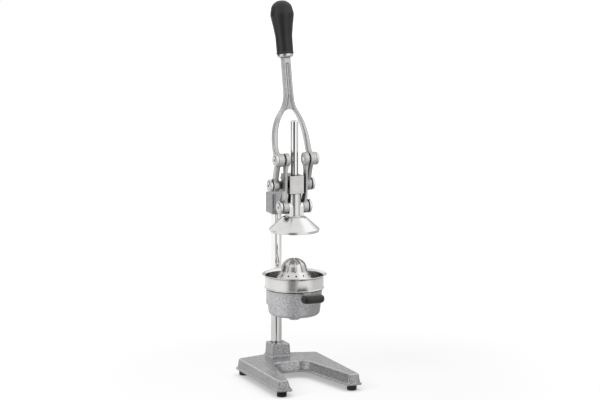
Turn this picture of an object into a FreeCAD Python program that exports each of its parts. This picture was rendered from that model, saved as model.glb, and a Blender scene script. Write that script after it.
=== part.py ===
"""Lever citrus juice press: a cast foot, a chrome column, a juice cup with a lift-out strainer,
and a forked hand lever that drives a cone down a guide through two links.

Millimetres, +Z up, front towards -Y, origin on the table below the middle of the press.
"""
import FreeCAD, Part
import math
import os

Vec = FreeCAD.Vector

# Running and seating clearances
running_fit = 0.05
loose_fit = 0.3

# Overall footprint of the base casting
overall_width = 184.0
overall_depth = 253.0
foot_height = 12.0
base_height = 23.0
base_wall = 5.0
base_roof = 5.0
base_lip = 2.0
base_lip_height = 4.0
leg_tip_width = 20.0
leg_tip_flare = 6.4
outer_draft = 2.6
end_draft = 3.0
leg_root_gap = 74.0
leg_root_draft = 5.0
web_depth = 92.0
rear_chevron = 22.0
rear_draft = 3.0
corner_radius = 7.0
tip_radius = 4.0
web_radius = 24.0
chevron_radius = 60.0
edge_radius = 2.2

# Rubber feet and their screws
foot_radius = 10.0
foot_rim = 1.2
foot_from_side = 16.0
foot_from_front = 16.0
foot_from_rear_corner = 8.0
foot_boss_radius = 7.5
foot_screw_radius = 2.0
foot_screw_length = 17.0
foot_screw_head_radius = 4.0
foot_screw_head_height = 3.0
foot_screw_recess = 5.5

# Column and its socket
column_radius = 11.2
column_inset = 20.0
column_floor = 20.0
socket_height = 27.0
socket_half_width = 20.5
socket_front = 30.0
socket_rear = 14.5
socket_taper = 1.4
socket_corner = 4.0
socket_pad_radius = 22.0
column_bolt_radius = 5.0
column_bolt_depth = 26.0
column_bolt_head = 8.5
column_bolt_head_height = 5.0

# Juice cup and its clamp round the column
cup_reach = 97.4
cup_top = 192.0
cup_depth = 53.6
cup_top_radius = 57.5
cup_bottom_radius = 51.6
cup_corner_radius = 9.0
cup_wall = 4.0
cup_floor_fall = 4.0
spout_radius = 11.5
spout_bore = 8.0
spout_drop = 10.5
clamp_radius = 21.0
clamp_web_half_width = 17.0
clamp_top_drop = 2.0
clamp_height = 49.0
clamp_screw_radius = 4.0
clamp_screw_head_radius = 6.5
clamp_screw_head_height = 4.5
clamp_screw_spacing = 26.0
clamp_screw_recess = 5.5

# Strainer bowl, its grip tab and the reamer
bowl_radius = 60.0
bowl_height = 31.0
bowl_sheet = 1.2
bowl_lip = 6.0
bowl_lip_rise = 4.0
bowl_bead = 1.0
bowl_bead_height = 2.0
bowl_floor_rise = 3.0
bowl_register_depth = 8.0
drain_hole_radius = 1.7
drain_ring_radii = (44.5, 49.0)
drain_holes_per_ring = 36
tab_length = 49.0
tab_width = 26.0
tab_thickness = 16.0
tab_centre_reach = 97.0
tab_drop = 6.0
tab_edge = 5.0
strap_half_width = 8.0
strap_sheet = 2.0
strap_grip = 12.0
tab_screw_radius = 2.0
tab_screw_head_radius = 3.5
tab_screw_head_height = 2.5
tab_screw_inset = 6.0
reamer_base_radius = 40.0
reamer_base_height = 4.0
reamer_skirt_radius = 36.0
reamer_skirt_height = 18.0
reamer_neck_radius = 26.0
reamer_neck_height = 33.0
reamer_height = 57.0
reamer_tip_radius = 7.0
reamer_rib_height = 1.6
reamer_rib_width = 2.6
reamer_rib_count = 10
reamer_hole_radius = 1.7
reamer_hole_depth = 4.0
reamer_hole_count = 12
reamer_screw_radius = 3.0
reamer_screw_length = 16.0
reamer_screw_head_radius = 5.5
reamer_screw_head_height = 3.0

# Lever pivots: fixed pivot, crank pin on the lever, and pin at the press cone
pivot_height = 402.6
pivot_behind_rod = 17.8
crank_radius = 60.9
crank_rest_angle = 25.2
link_length = 98.3
pivot_bolt_radius = 5.0

# Guide block, bush and bracket
guide_half_width = 15.5
guide_front = 14.6
guide_rear = 11.4
guide_drop = 14.6
guide_height = 36.5
bush_wall = 1.5
guide_screw_radius = 2.5
guide_screw_offset = 11.5
guide_screw_below_top = 10.0
guide_screw_bite = 6.5
guide_screw_head_radius = 4.0
guide_screw_head_height = 4.0
bracket_head_depth = 23.5
bracket_half_width = 18.0
bracket_front = 21.0
bracket_rear = 15.0
bracket_height = 43.0
bracket_drop = 26.6
bracket_roof = 5.0
neck_half_width = 12.5
pivot_boss_radius = 8.5
pivot_thread_depth = 9.0
bracket_screw_spacing = 24.0

# Press cone and rod
rod_radius = 8.0
rod_length = 182.0
cone_rim_radius = 51.2
cone_rim_below_pin = 50.2
cone_rim_height = 3.5
cone_shoulder_radius = 23.5
cone_shoulder_below_pin = 19.7
cone_wall = 7.0
cone_roof_below_pin = 24.7
neck_radius = 14.5
hub_foot_radius = 18.0
hub_foot_height = 2.0
lug_half_width = 15.7
lug_radius = 12.5
rod_seat_above_roof = 18.0
rod_screw_radius = 4.0
rod_screw_bite = 20.0
rod_screw_head_radius = 6.5
rod_screw_head_height = 4.0

# Links
link_thickness = 9.0
link_width = 17.0
link_eye_radius = 13.5
link_gap = 0.3
link_lower_boss = 2.5
link_head_radius = 14.0

# Lever fork, arms and stem
arm_gap = 3.5
lever_boss_length = 13.0
lever_boss_radius = 13.5
arm_thickness = 9.5
arm_width = 14.5
arm_inner_half_gap = 31.0
arm_base_height = 71.0
arch_rise = 82.0
outer_arch_rise = 87.0
arm_foot_behind_crank = 21.0
elbow_behind_crank = 7.5
arm_lean = 9.2
stem_width = 17.0
stem_depth = 17.0
stem_length = 100.0
stem_lean = 12.0
stem_blend_radius = 22.0
groove_radius = 5.0
groove_depth = 2.2
tang_radius = 6.0
tang_length = 62.0

# Pivot hardware
washer_thickness = 2.0
washer_radius = 10.0
bolt_head_radius = 13.0
bolt_head_height = 6.0
bolt_dome = 1.8
socket_radius = 3.0
socket_depth = 3.0

# Grip and collar
collar_radius = 16.4
collar_height = 6.5
grip_length = 110.0
grip_foot_radius = 17.0
grip_waist_radius = 16.1
grip_bulb_radius = 24.2
grip_bulb_height = 82.0

# Places worked out from the driving sizes
base_bottom = foot_height
base_top = foot_height + base_height
front_edge = -overall_depth / 2
rear_edge = overall_depth / 2
column_y = rear_edge - column_inset
rod_y = column_y - cup_reach
cup_bottom = cup_top - cup_depth
cup_slope = (cup_top_radius - cup_bottom_radius) / cup_depth
bowl_floor = cup_top + bowl_floor_rise
bowl_rim = cup_top + bowl_height
pivot_y = rod_y + pivot_behind_rod
crank_turn = math.radians(crank_rest_angle)
crank_y = pivot_y - crank_radius * math.sin(crank_turn)
crank_z = pivot_height + crank_radius * math.cos(crank_turn)
cone_pin_z = crank_z - math.sqrt(link_length ** 2 - (rod_y - crank_y) ** 2)
guide_bottom = pivot_height - guide_drop
guide_top = guide_bottom + guide_height
guide_back_y = rod_y + guide_rear
bracket_top = pivot_height - bracket_drop
bracket_bottom = bracket_top - bracket_height
column_top = bracket_top - bracket_roof
link_inner = lug_half_width + link_gap
link_outer = link_inner + link_thickness
arm_inner = link_outer + arm_gap
arm_outer = arm_inner + lever_boss_length
head_seat = arm_outer + loose_fit + washer_thickness
cone_roof = cone_pin_z - cone_roof_below_pin
rod_seat = cone_roof + rod_seat_above_roof

made = {}


def keep(name, shape):
    """Hold one finished sub-part under its node name."""
    made[name] = shape


def box(x_range, y_range, z_range):
    """A block between two corners."""
    size = [high - low for low, high in (x_range, y_range, z_range)]
    return Part.makeBox(*size, Vec(x_range[0], y_range[0], z_range[0]))


def rod_along(axis, radius, start, length):
    """A round bar from a start point along an axis."""
    return Part.makeCylinder(radius, length, start, axis)


def cross_pin(radius, x_start, x_end, y, z):
    """A round bar lying along X."""
    return rod_along(Vec(1, 0, 0), radius, Vec(x_start, y, z), x_end - x_start)


def mirrored(shape):
    """The same piece on the other side of the press."""
    return shape.mirror(Vec(0, 0, 0), Vec(1, 0, 0))


def turned(points, y):
    """A solid of revolution about an upright axis at the given Y, from radius and height pairs."""
    corners = [Vec(radius, y, height) for radius, height in points]
    face = Part.Face(Part.makePolygon(corners + corners[:1]))
    return face.revolve(Vec(0, y, 0), Vec(0, 0, 1), 360)


def rounded_outline(points, radii, z):
    """A closed flat wire through corner points, each corner rounded to its own radius."""
    starts = []
    middles = []
    ends = []
    count = len(points)
    for index, radius in enumerate(radii):
        corner = Vec(*points[index], z)
        before = (corner - Vec(*points[index - 1], z)).normalize()
        after = (Vec(*points[(index + 1) % count], z) - corner).normalize()
        turn = before.getAngle(after)
        tangent = radius * math.tan(turn / 2)
        inward = (after - before).normalize()
        starts.append(corner - before * tangent)
        ends.append(corner + after * tangent)
        middles.append(corner + inward * (radius / math.cos(turn / 2) - radius))
    edges = []
    for index in range(count):
        edges.append(Part.Arc(starts[index], middles[index], ends[index]).toShape())
        edges.append(Part.LineSegment(ends[index], starts[(index + 1) % count]).toShape())
    return Part.Wire(edges)


def both_sides(half_points, half_radii):
    """Mirror a half outline that starts on the centre line and runs down the right side."""
    left = [(-x, y) for x, y in reversed(half_points[1:])]
    return half_points + left, half_radii + list(reversed(half_radii[1:]))


def base_outline(height_share, inset, z):
    """The forked plan of the base at a share of its height, drawn in by an inset."""
    side = overall_width / 2 - base_lip - outer_draft * height_share - inset
    front = front_edge + base_lip + end_draft * height_share + inset
    tip_flare = leg_tip_flare * (1 - height_share)
    tip_inner = overall_width / 2 - base_lip - outer_draft - leg_tip_width - tip_flare + inset
    root_inner = leg_root_gap / 2 - leg_root_draft * (1 - height_share) + inset
    rear = rear_edge - base_lip - rear_draft * height_share - inset
    corner = rear - rear_chevron
    rounded_off = chevron_radius * (1 / math.cos(math.atan(rear_chevron / side)) - 1)
    rear += rounded_off
    web = rear_edge - web_depth - leg_root_draft * (1 - height_share) + inset
    half = [(0, rear), (side, corner), (side, front), (tip_inner, front), (root_inner, web)]
    radii = [chevron_radius, corner_radius, tip_radius, tip_radius, web_radius]
    points, all_radii = both_sides(half, radii)
    return rounded_outline(points, all_radii, z)


def foot_places():
    """The four foot centres, each with the end and side that name it."""
    side = overall_width / 2 - foot_from_side
    front = front_edge + foot_from_front
    rear = rear_edge - rear_chevron - foot_from_rear_corner
    places = {}
    for end, y in (("front", front), ("rear", rear)):
        for hand, x in (("left", -side), ("right", side)):
            places[end + "_" + hand] = (x, y)
    return places


def socket_block():
    """The tapered block that stands on the base round the column."""
    wires = []
    for z, taper in ((base_top - base_roof, 0.0), (base_top + socket_height, socket_taper)):
        x = socket_half_width - taper
        front = column_y - socket_front + taper
        back = column_y + socket_rear - taper
        corners = [(x, back), (x, front), (-x, front), (-x, back)]
        wires.append(rounded_outline(corners, [socket_corner] * 4, z))
    return Part.makeLoft(wires, True, True)


def base_casting():
    """Hollow forked base with foot bosses, a column pad and the column socket."""
    body = Part.makeLoft([base_outline(0, 0, base_bottom), base_outline(1, 0, base_top)],
                         True, True)
    rim = [edge for edge in body.Edges if edge.BoundBox.ZMin > base_top - edge_radius / 10]
    body = body.makeFillet(edge_radius, rim)
    lip_face = Part.Face(base_outline(0, -base_lip, base_bottom))
    body = body.fuse(lip_face.extrude(Vec(0, 0, base_lip_height)))
    hollow_top = base_top - base_roof
    hollow = Part.makeLoft([base_outline(0, base_wall, base_bottom),
                            base_outline(1, base_wall, hollow_top)], True, True)
    body = body.cut(hollow)
    for x, y in foot_places().values():
        body = body.fuse(rod_along(Vec(0, 0, 1), foot_boss_radius,
                                   Vec(x, y, base_bottom), hollow_top - base_bottom))
    pad_bottom = base_bottom + 2
    pad = rod_along(Vec(0, 0, 1), socket_pad_radius, Vec(0, column_y, pad_bottom),
                    hollow_top - pad_bottom)
    pad = pad.common(Part.makeLoft([base_outline(0, 1, base_bottom),
                                    base_outline(1, 1, hollow_top)], True, True))
    body = body.fuse(pad).fuse(socket_block())
    body = body.cut(rod_along(Vec(0, 0, 1), column_radius, Vec(0, column_y, column_floor),
                              base_top + socket_height))
    body = body.cut(rod_along(Vec(0, 0, 1), column_bolt_radius, Vec(0, column_y, 0), base_top))
    for x, y in foot_places().values():
        body = body.cut(rod_along(Vec(0, 0, 1), foot_screw_radius, Vec(x, y, 0),
                                  foot_screw_recess + foot_screw_length))
    keep("base_casting", body.removeSplitter())


def feet():
    """Four rubber feet, each held by a screw from below."""
    screws = []
    for name, (x, y) in foot_places().items():
        centre = Vec(x, y, 0)
        foot = rod_along(Vec(0, 0, 1), foot_radius, centre, foot_height)
        foot = foot.makeChamfer(foot_rim, [e for e in foot.Edges if e.BoundBox.ZMax < foot_rim])
        recess = foot_screw_head_radius + loose_fit
        foot = foot.cut(rod_along(Vec(0, 0, 1), recess, centre, foot_screw_recess))
        foot = foot.cut(rod_along(Vec(0, 0, 1), foot_screw_radius, centre, foot_height))
        keep("foot_" + name, foot)
        head = Vec(x, y, foot_screw_recess - foot_screw_head_height)
        screw = rod_along(Vec(0, 0, 1), foot_screw_head_radius, head, foot_screw_head_height)
        shank = rod_along(Vec(0, 0, 1), foot_screw_radius, Vec(x, y, foot_screw_recess),
                          foot_screw_length)
        screws.append(screw.fuse(shank))
    keep("foot_screws", Part.makeCompound(screws))


def column():
    """The chrome column and the bolt that holds it from below."""
    foot = Vec(0, column_y, column_floor)
    bar = rod_along(Vec(0, 0, 1), column_radius, foot, column_top - column_floor)
    bar = bar.cut(rod_along(Vec(0, 0, 1), column_bolt_radius, foot, column_bolt_depth))
    keep("column_bar", bar)
    head_top = base_bottom + 2
    head = hex_bar(column_bolt_head, Vec(0, column_y, head_top - column_bolt_head_height),
                   column_bolt_head_height)
    shank = rod_along(Vec(0, 0, 1), column_bolt_radius, Vec(0, column_y, head_top),
                      column_floor - head_top + column_bolt_depth)
    keep("column_bolt", head.fuse(shank))


def hex_bar(half_flats, start, height):
    """An upright six-sided bar."""
    corner = half_flats / math.cos(math.pi / 6)
    points = []
    for side in range(7):
        turn = side * math.pi / 3
        points.append(start + Vec(corner * math.cos(turn), corner * math.sin(turn), 0))
    return Part.Face(Part.makePolygon(points)).extrude(Vec(0, 0, height))


def cup_profile(wall):
    """Half section of the cup, drawn in by a wall, as radius and height pairs."""
    floor = cup_bottom + wall
    points = [(cup_top_radius - wall, cup_top)]
    radius = cup_corner_radius - wall / 2
    centre_x = cup_bottom_radius - wall + cup_slope * (wall + radius) - radius
    for step in range(7):
        turn = step * math.pi / 12
        points.append((centre_x + radius * math.cos(turn),
                       floor + radius - radius * math.sin(turn)))
    return points


def cup_casting():
    """Open cup with a sloping floor, a spout and a clamp boss round the column."""
    outer = cup_profile(0)
    spout_bottom = cup_bottom - spout_drop
    outer += [(spout_radius, cup_bottom - 1.5), (spout_radius, spout_bottom), (0, spout_bottom)]
    body = turned(outer + [(0, cup_top)], rod_y)
    boss_base = cup_top - clamp_top_drop - clamp_height
    boss = rod_along(Vec(0, 0, 1), clamp_radius, Vec(0, column_y, boss_base), clamp_height)
    web = box((-clamp_web_half_width, clamp_web_half_width), (rod_y, column_y),
              (boss_base, boss_base + clamp_height))
    body = body.fuse(boss).fuse(web)
    inner = cup_profile(cup_wall)
    inner += [(spout_bore, cup_bottom + cup_wall - cup_floor_fall), (spout_bore, spout_bottom - 1),
              (0, spout_bottom - 1)]
    inner[0] = (cup_top_radius - cup_wall, cup_top)
    body = body.cut(turned(inner + [(0, cup_top)], rod_y))
    column_hole = rod_along(Vec(0, 0, 1), column_radius, Vec(0, column_y, 0), cup_top)
    body = body.cut(column_hole)
    screws = []
    for height in screw_heights(boss_base + clamp_height / 2, clamp_screw_spacing):
        screw, hole = rear_screw(height, clamp_radius - clamp_screw_recess)
        body = body.cut(hole)
        screws.append(screw)
    keep("cup_casting", body.removeSplitter())
    keep("cup_clamp_screws", Part.makeCompound(screws))


def screw_heights(middle, spacing):
    """Two heights either side of a middle."""
    return middle - spacing / 2, middle + spacing / 2


def rear_screw(z, boss_reach):
    """A cap screw from behind that bears on the column, and the hole that it fills."""
    tip = column_y + column_radius + running_fit
    seat = column_y + boss_reach
    back = Vec(0, 1, 0)
    shank = rod_along(back, clamp_screw_radius, Vec(0, tip, z), seat - tip)
    head = rod_along(back, clamp_screw_head_radius, Vec(0, seat, z), clamp_screw_head_height)
    drive = rod_along(back, socket_radius,
                      Vec(0, seat + clamp_screw_head_height - socket_depth, z), socket_depth)
    hole = rod_along(back, clamp_screw_radius, Vec(0, column_y, z), boss_reach)
    seat_cut = rod_along(back, clamp_screw_head_radius, Vec(0, seat, z), 2 * clamp_screw_recess)
    return shank.fuse(head).cut(drive), hole.fuse(seat_cut)


def bracket_casting():
    """Clamp block on the column, rising neck, and the head that carries guide and pivots."""
    block = box((-bracket_half_width, bracket_half_width),
                (column_y - bracket_front, column_y + bracket_rear),
                (bracket_bottom, bracket_top))
    upright = [edge for edge in block.Edges if edge.BoundBox.ZLength > bracket_height / 2]
    block = block.makeFillet(edge_radius, upright)
    head_back = guide_back_y + bracket_head_depth
    head = box((-guide_half_width, guide_half_width), (guide_back_y, head_back),
               (guide_bottom, guide_top))
    root = column_y - bracket_front + 2
    neck_points = [(root, bracket_bottom + 4), (head_back - 6, guide_bottom),
                   (head_back, pivot_height + 6), (root, bracket_top)]
    corners = [Vec(-neck_half_width, y, z) for y, z in neck_points]
    neck = Part.Face(Part.makePolygon(corners + corners[:1])).extrude(Vec(2 * neck_half_width, 0, 0))
    body = block.fuse(head).fuse(neck)
    boss_reach = arm_inner - loose_fit
    body = body.fuse(cross_pin(pivot_boss_radius, -boss_reach, boss_reach, pivot_y, pivot_height)
                     .common(box((-boss_reach, boss_reach), (guide_back_y, head_back),
                                 (guide_bottom, guide_top))
                             .fuse(box((guide_half_width, boss_reach), (rod_y, head_back),
                                       (guide_bottom, guide_top)))
                             .fuse(box((-boss_reach, -guide_half_width), (rod_y, head_back),
                                       (guide_bottom, guide_top)))))
    inner_end = guide_half_width - pivot_thread_depth
    body = body.cut(cross_pin(pivot_bolt_radius, inner_end, boss_reach, pivot_y, pivot_height))
    body = body.cut(cross_pin(pivot_bolt_radius, -boss_reach, -inner_end, pivot_y, pivot_height))
    body = body.cut(rod_along(Vec(0, 0, 1), column_radius, Vec(0, column_y, 0), column_top))
    screws = []
    for height in screw_heights((bracket_bottom + bracket_top) / 2, bracket_screw_spacing):
        screw, hole = rear_screw(height, bracket_rear)
        body = body.cut(hole)
        screws.append(screw)
    for x in (-guide_screw_offset, guide_screw_offset):
        body = body.cut(rod_along(Vec(0, 1, 0), guide_screw_radius,
                                  Vec(x, guide_back_y, guide_top - guide_screw_below_top),
                                  bracket_head_depth))
    keep("bracket_casting", body.removeSplitter())
    keep("bracket_screws", Part.makeCompound(screws))


def guide():
    """The guide block in front of the bracket head, its bush and its two screws."""
    block = box((-guide_half_width, guide_half_width), (rod_y - guide_front, guide_back_y),
                (guide_bottom, guide_top))
    upright = [edge for edge in block.Edges
               if edge.BoundBox.ZLength > guide_height / 2 and edge.BoundBox.YMax < rod_y]
    block = block.makeFillet(edge_radius / 2, upright)
    bush_radius = rod_radius + running_fit + bush_wall
    bore_start = Vec(0, rod_y, guide_bottom)
    block = block.cut(rod_along(Vec(0, 0, 1), bush_radius, bore_start, guide_height))
    bush = rod_along(Vec(0, 0, 1), bush_radius, bore_start, guide_height)
    bush = bush.cut(rod_along(Vec(0, 0, 1), rod_radius + running_fit, bore_start, guide_height))
    keep("guide_bush", bush)
    screws = []
    for x in (-guide_screw_offset, guide_screw_offset):
        tip = Vec(x, guide_back_y - guide_screw_bite, guide_top - guide_screw_below_top)
        shank = rod_along(Vec(0, 1, 0), guide_screw_radius, tip,
                          guide_screw_bite + bracket_head_depth)
        head_at = tip + Vec(0, guide_screw_bite + bracket_head_depth, 0)
        head = rod_along(Vec(0, 1, 0), guide_screw_head_radius, head_at, guide_screw_head_height)
        block = block.cut(shank)
        screws.append(shank.fuse(head))
    keep("guide_block", block)
    keep("guide_screws", Part.makeCompound(screws))


def headed_bolt(inner_x, seat_x, head_radius, y, z):
    """A round-headed pivot bolt along X on the right side, with a domed head and a drive hole."""
    shank = cross_pin(pivot_bolt_radius, inner_x, seat_x, y, z)
    flat = bolt_head_height - bolt_dome
    head = cross_pin(head_radius, seat_x, seat_x + flat, y, z)
    dome = Part.makeCone(head_radius, head_radius - bolt_dome, bolt_dome,
                         Vec(seat_x + flat, y, z), Vec(1, 0, 0))
    outer_face = seat_x + bolt_head_height
    drive = cross_pin(socket_radius, outer_face - socket_depth, outer_face, y, z)
    return shank.fuse(head).fuse(dome).cut(drive).removeSplitter()


def ring(outer, inner, x_start, x_end, y, z):
    """A flat ring about a pivot along X."""
    return cross_pin(outer, x_start, x_end, y, z).cut(cross_pin(inner, x_start, x_end, y, z))


def keep_pair(name, right_piece):
    """Hold a right-hand piece and its mirror image."""
    keep(name + "_right", right_piece)
    keep(name + "_left", mirrored(right_piece))


def pivot_hardware():
    """Fixed pivot bolts in the bracket, crank bolts in the lever, their washers and spacers."""
    inner_end = guide_half_width - pivot_thread_depth
    keep_pair("pivot_bolt", headed_bolt(inner_end, head_seat, bolt_head_radius,
                                        pivot_y, pivot_height))
    washer = ring(washer_radius, pivot_bolt_radius, arm_outer + loose_fit, head_seat,
                  pivot_y, pivot_height)
    keep("pivot_washers", Part.makeCompound([washer, mirrored(washer)]))
    keep_pair("crank_bolt", headed_bolt(link_inner, arm_outer, bolt_head_radius, crank_y, crank_z))
    spacer = ring(washer_radius - 1, pivot_bolt_radius, link_outer + loose_fit, arm_inner,
                  crank_y, crank_z)
    keep("crank_spacers", Part.makeCompound([spacer, mirrored(spacer)]))


def links():
    """Two flat links with round eyes, each with the bolt that pins it to the press cone."""
    upper = Vec(link_inner, crank_y, crank_z)
    lower = Vec(link_inner, rod_y, cone_pin_z)
    along = (lower - upper).normalize()
    across = Vec(0, -along.z, along.y) * (link_width / 2)
    corners = [upper + across, lower + across, lower - across, upper - across]
    bar = Part.Face(Part.makePolygon(corners + corners[:1])).extrude(Vec(link_thickness, 0, 0))
    lower_outer = link_outer + link_lower_boss
    body = bar.fuse(cross_pin(link_eye_radius, link_inner, link_outer, crank_y, crank_z))
    body = body.fuse(cross_pin(link_eye_radius, link_inner, lower_outer, rod_y, cone_pin_z))
    body = body.cut(cross_pin(pivot_bolt_radius + running_fit, link_inner, link_outer,
                              crank_y, crank_z))
    body = body.cut(cross_pin(pivot_bolt_radius, link_inner, lower_outer, rod_y, cone_pin_z))
    keep_pair("link", body.removeSplitter())
    seat = lower_outer + washer_thickness
    keep_pair("link_bolt", headed_bolt(link_inner, seat, link_head_radius, rod_y, cone_pin_z))
    keep_pair("link_washer", ring(washer_radius, pivot_bolt_radius, lower_outer, seat,
                                  rod_y, cone_pin_z))


def press_head():
    """The press cone, the hub with its lugs, the rod, and the screw that joins them."""
    rim = cone_pin_z - cone_rim_below_pin
    shoulder = cone_pin_z - cone_shoulder_below_pin
    neck_top = guide_bottom - loose_fit
    rim_top = rim + cone_rim_height
    spread = (cone_rim_radius - cone_shoulder_radius) / (shoulder - rim_top)
    inner_rim = cone_rim_radius - cone_wall
    inner_roof = inner_rim - spread * (cone_roof - rim_top)
    up = Vec(0, 0, 1)
    screw_hole = rod_along(up, rod_screw_radius, Vec(0, rod_y, cone_roof), rod_seat_above_roof)
    cone = turned([(0, cone_roof), (inner_roof, cone_roof), (inner_rim, rim_top),
                   (inner_rim + cone_wall / 2, rim), (cone_rim_radius, rim),
                   (cone_rim_radius, rim_top), (cone_shoulder_radius, shoulder), (0, shoulder)],
                  rod_y)
    keep("press_cone", cone.cut(screw_hole))
    hub = turned([(0, shoulder), (hub_foot_radius, shoulder),
                  (neck_radius, shoulder + hub_foot_height), (neck_radius, neck_top),
                  (0, neck_top)], rod_y)
    lug_sides = (-lug_half_width, lug_half_width)
    hub = hub.fuse(cross_pin(lug_radius, *lug_sides, rod_y, cone_pin_z))
    hub = hub.fuse(box(lug_sides, (rod_y - lug_radius, rod_y + lug_radius),
                       (shoulder, cone_pin_z)))
    hub = hub.cut(rod_along(up, rod_radius, Vec(0, rod_y, rod_seat), rod_length))
    keep("cone_hub", hub.cut(screw_hole).removeSplitter())
    bar = rod_along(up, rod_radius, Vec(0, rod_y, rod_seat), rod_length)
    bar = bar.makeChamfer(1.0, [e for e in bar.Edges if e.BoundBox.ZMin > rod_seat + rod_length / 2])
    bar = bar.cut(rod_along(up, rod_screw_radius, Vec(0, rod_y, rod_seat), rod_screw_bite))
    keep("press_rod", bar)
    head_low = Vec(0, rod_y, cone_roof - rod_screw_head_height)
    head = rod_along(up, rod_screw_head_radius, head_low, rod_screw_head_height)
    head = head.cut(rod_along(up, socket_radius, head_low, socket_depth))
    shank = rod_along(up, rod_screw_radius, Vec(0, rod_y, cone_roof),
                      rod_seat + rod_screw_bite - cone_roof)
    keep("rod_screw", head.fuse(shank))


def stem_axis():
    """A point low on the stem's centre line and the direction up along it."""
    foot_y = crank_y + arm_foot_behind_crank
    foot_z = pivot_height + arm_base_height
    stem_z = foot_z + outer_arch_rise
    stem_y = foot_y + outer_arch_rise * math.tan(math.radians(arm_lean))
    lean = math.radians(stem_lean)
    return Vec(0, stem_y, stem_z), Vec(0, math.sin(lean), math.cos(lean))


def side_band():
    """The lever seen from the side: a bent band from the pivot over the elbow to the stem end."""
    stem_start, stem_up = stem_axis()
    foot = Vec(0, crank_y + arm_foot_behind_crank, pivot_height + arm_base_height)
    elbow = Vec(0, crank_y + elbow_behind_crank, crank_z - 2)
    pivot = Vec(0, pivot_y, pivot_height)
    low_run = (elbow - pivot).normalize()
    high_run = (stem_start - foot).normalize()
    centres = [(pivot - low_run * 2, low_run, arm_width), (pivot + low_run * 32, low_run, arm_width),
               (elbow, Vec(0, 0, 1), arm_width),
               (foot, (high_run + Vec(0, 1, 0) * 0.25).normalize(), arm_width),
               (foot + high_run * 30, high_run, arm_width), (stem_start, stem_up, stem_depth),
               (stem_start + stem_up * stem_length, stem_up, stem_depth)]
    fronts = []
    backs = []
    for centre, run, width in centres:
        across = Vec(0, run.z, -run.y) * (width / 2)
        fronts.append(centre - across)
        backs.append(centre + across)
    front = Part.BSplineCurve()
    front.interpolate(fronts[:-1])
    back = Part.BSplineCurve()
    back.interpolate(backs[:-1])
    edges = [front.toShape(), Part.LineSegment(fronts[-2], fronts[-1]).toShape(),
             Part.LineSegment(fronts[-1], backs[-1]).toShape(),
             Part.LineSegment(backs[-1], backs[-2]).toShape(), back.toShape(),
             Part.LineSegment(backs[0], fronts[0]).toShape()]
    return Part.Face(Part.Wire(Part.__sortEdges__(edges)))


def arch(half_width, rise, base_z):
    """An upright half ellipse standing on a line, as a solid through the whole depth."""
    ellipse = Part.Ellipse(Vec(0, 0, 0), rise, half_width)
    face = Part.Face(Part.Wire([ellipse.toShape()]))
    face.rotate(Vec(0, 0, 0), Vec(0, 0, 1), 90)
    face.rotate(Vec(0, 0, 0), Vec(1, 0, 0), 90)
    face.translate(Vec(0, overall_depth / 2, base_z))
    return face.extrude(Vec(0, -overall_depth, 0))


def lever_yoke():
    """Forked lever casting: two arms that meet in a stem, with bosses at both pivots."""
    outer = arm_inner_half_gap + arm_thickness
    base_z = pivot_height + arm_base_height
    depth = (-overall_depth / 2, overall_depth / 2)
    below = pivot_height - lever_boss_radius
    stem_start, stem_up = stem_axis()
    stem_end = stem_start + stem_up * stem_length
    front = arch(outer, outer_arch_rise, base_z)
    front = front.fuse(box((-stem_width / 2, stem_width / 2), depth, (base_z, stem_end.z + 5)))
    blend = [edge for edge in front.removeSplitter().Edges
             if edge.BoundBox.YLength > overall_depth / 2
             and abs(abs(edge.CenterOfMass.x) - stem_width / 2) < 0.01
             and edge.CenterOfMass.z < stem_end.z]
    front = front.removeSplitter().makeFillet(stem_blend_radius, blend)
    front = front.cut(box((-outer - 1, outer + 1), depth, (below - outer_arch_rise, base_z)))
    front = front.fuse(box((-outer, outer), depth, (below, base_z)))
    front = front.cut(arch(arm_inner_half_gap, arch_rise, base_z))
    front = front.cut(box((-arm_inner_half_gap, arm_inner_half_gap), depth, (below - 1, base_z)))
    side = side_band().extrude(Vec(2 * outer, 0, 0))
    side.translate(Vec(-outer, 0, 0))
    body = front.common(side)
    body = body.fuse(rod_along(stem_up, tang_radius, stem_end - stem_up, tang_length + 1))
    for sign in (1, -1):
        offset = Vec(0, -stem_up.z, stem_up.y) * (sign * (stem_depth / 2 + groove_radius
                                                          - groove_depth))
        groove = rod_along(stem_up, groove_radius, stem_start + stem_up * 22 + offset,
                           stem_length - 34)
        body = body.cut(groove)
    for x in (arm_inner, -arm_outer):
        for y, z in ((pivot_y, pivot_height), (crank_y, crank_z)):
            body = body.fuse(cross_pin(lever_boss_radius, x, x + lever_boss_length, y, z))
    reach = arm_outer + 1
    body = body.cut(cross_pin(pivot_bolt_radius + running_fit, -reach, reach,
                              pivot_y, pivot_height))
    body = body.cut(cross_pin(pivot_bolt_radius, -reach, reach, crank_y, crank_z))
    keep("lever_yoke", body.removeSplitter())


def grip_profile():
    """Radius and height pairs along the grip, from its foot to its rounded end."""
    return [(grip_foot_radius, 0), (grip_foot_radius, 4), (grip_waist_radius, 12),
            (grip_waist_radius, 36), (grip_waist_radius + 3.6, 58),
            (grip_bulb_radius, grip_bulb_height), (grip_bulb_radius - 3.6, grip_bulb_height + 15),
            (grip_bulb_radius - 13, grip_length - 3), (0, grip_length)]


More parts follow.
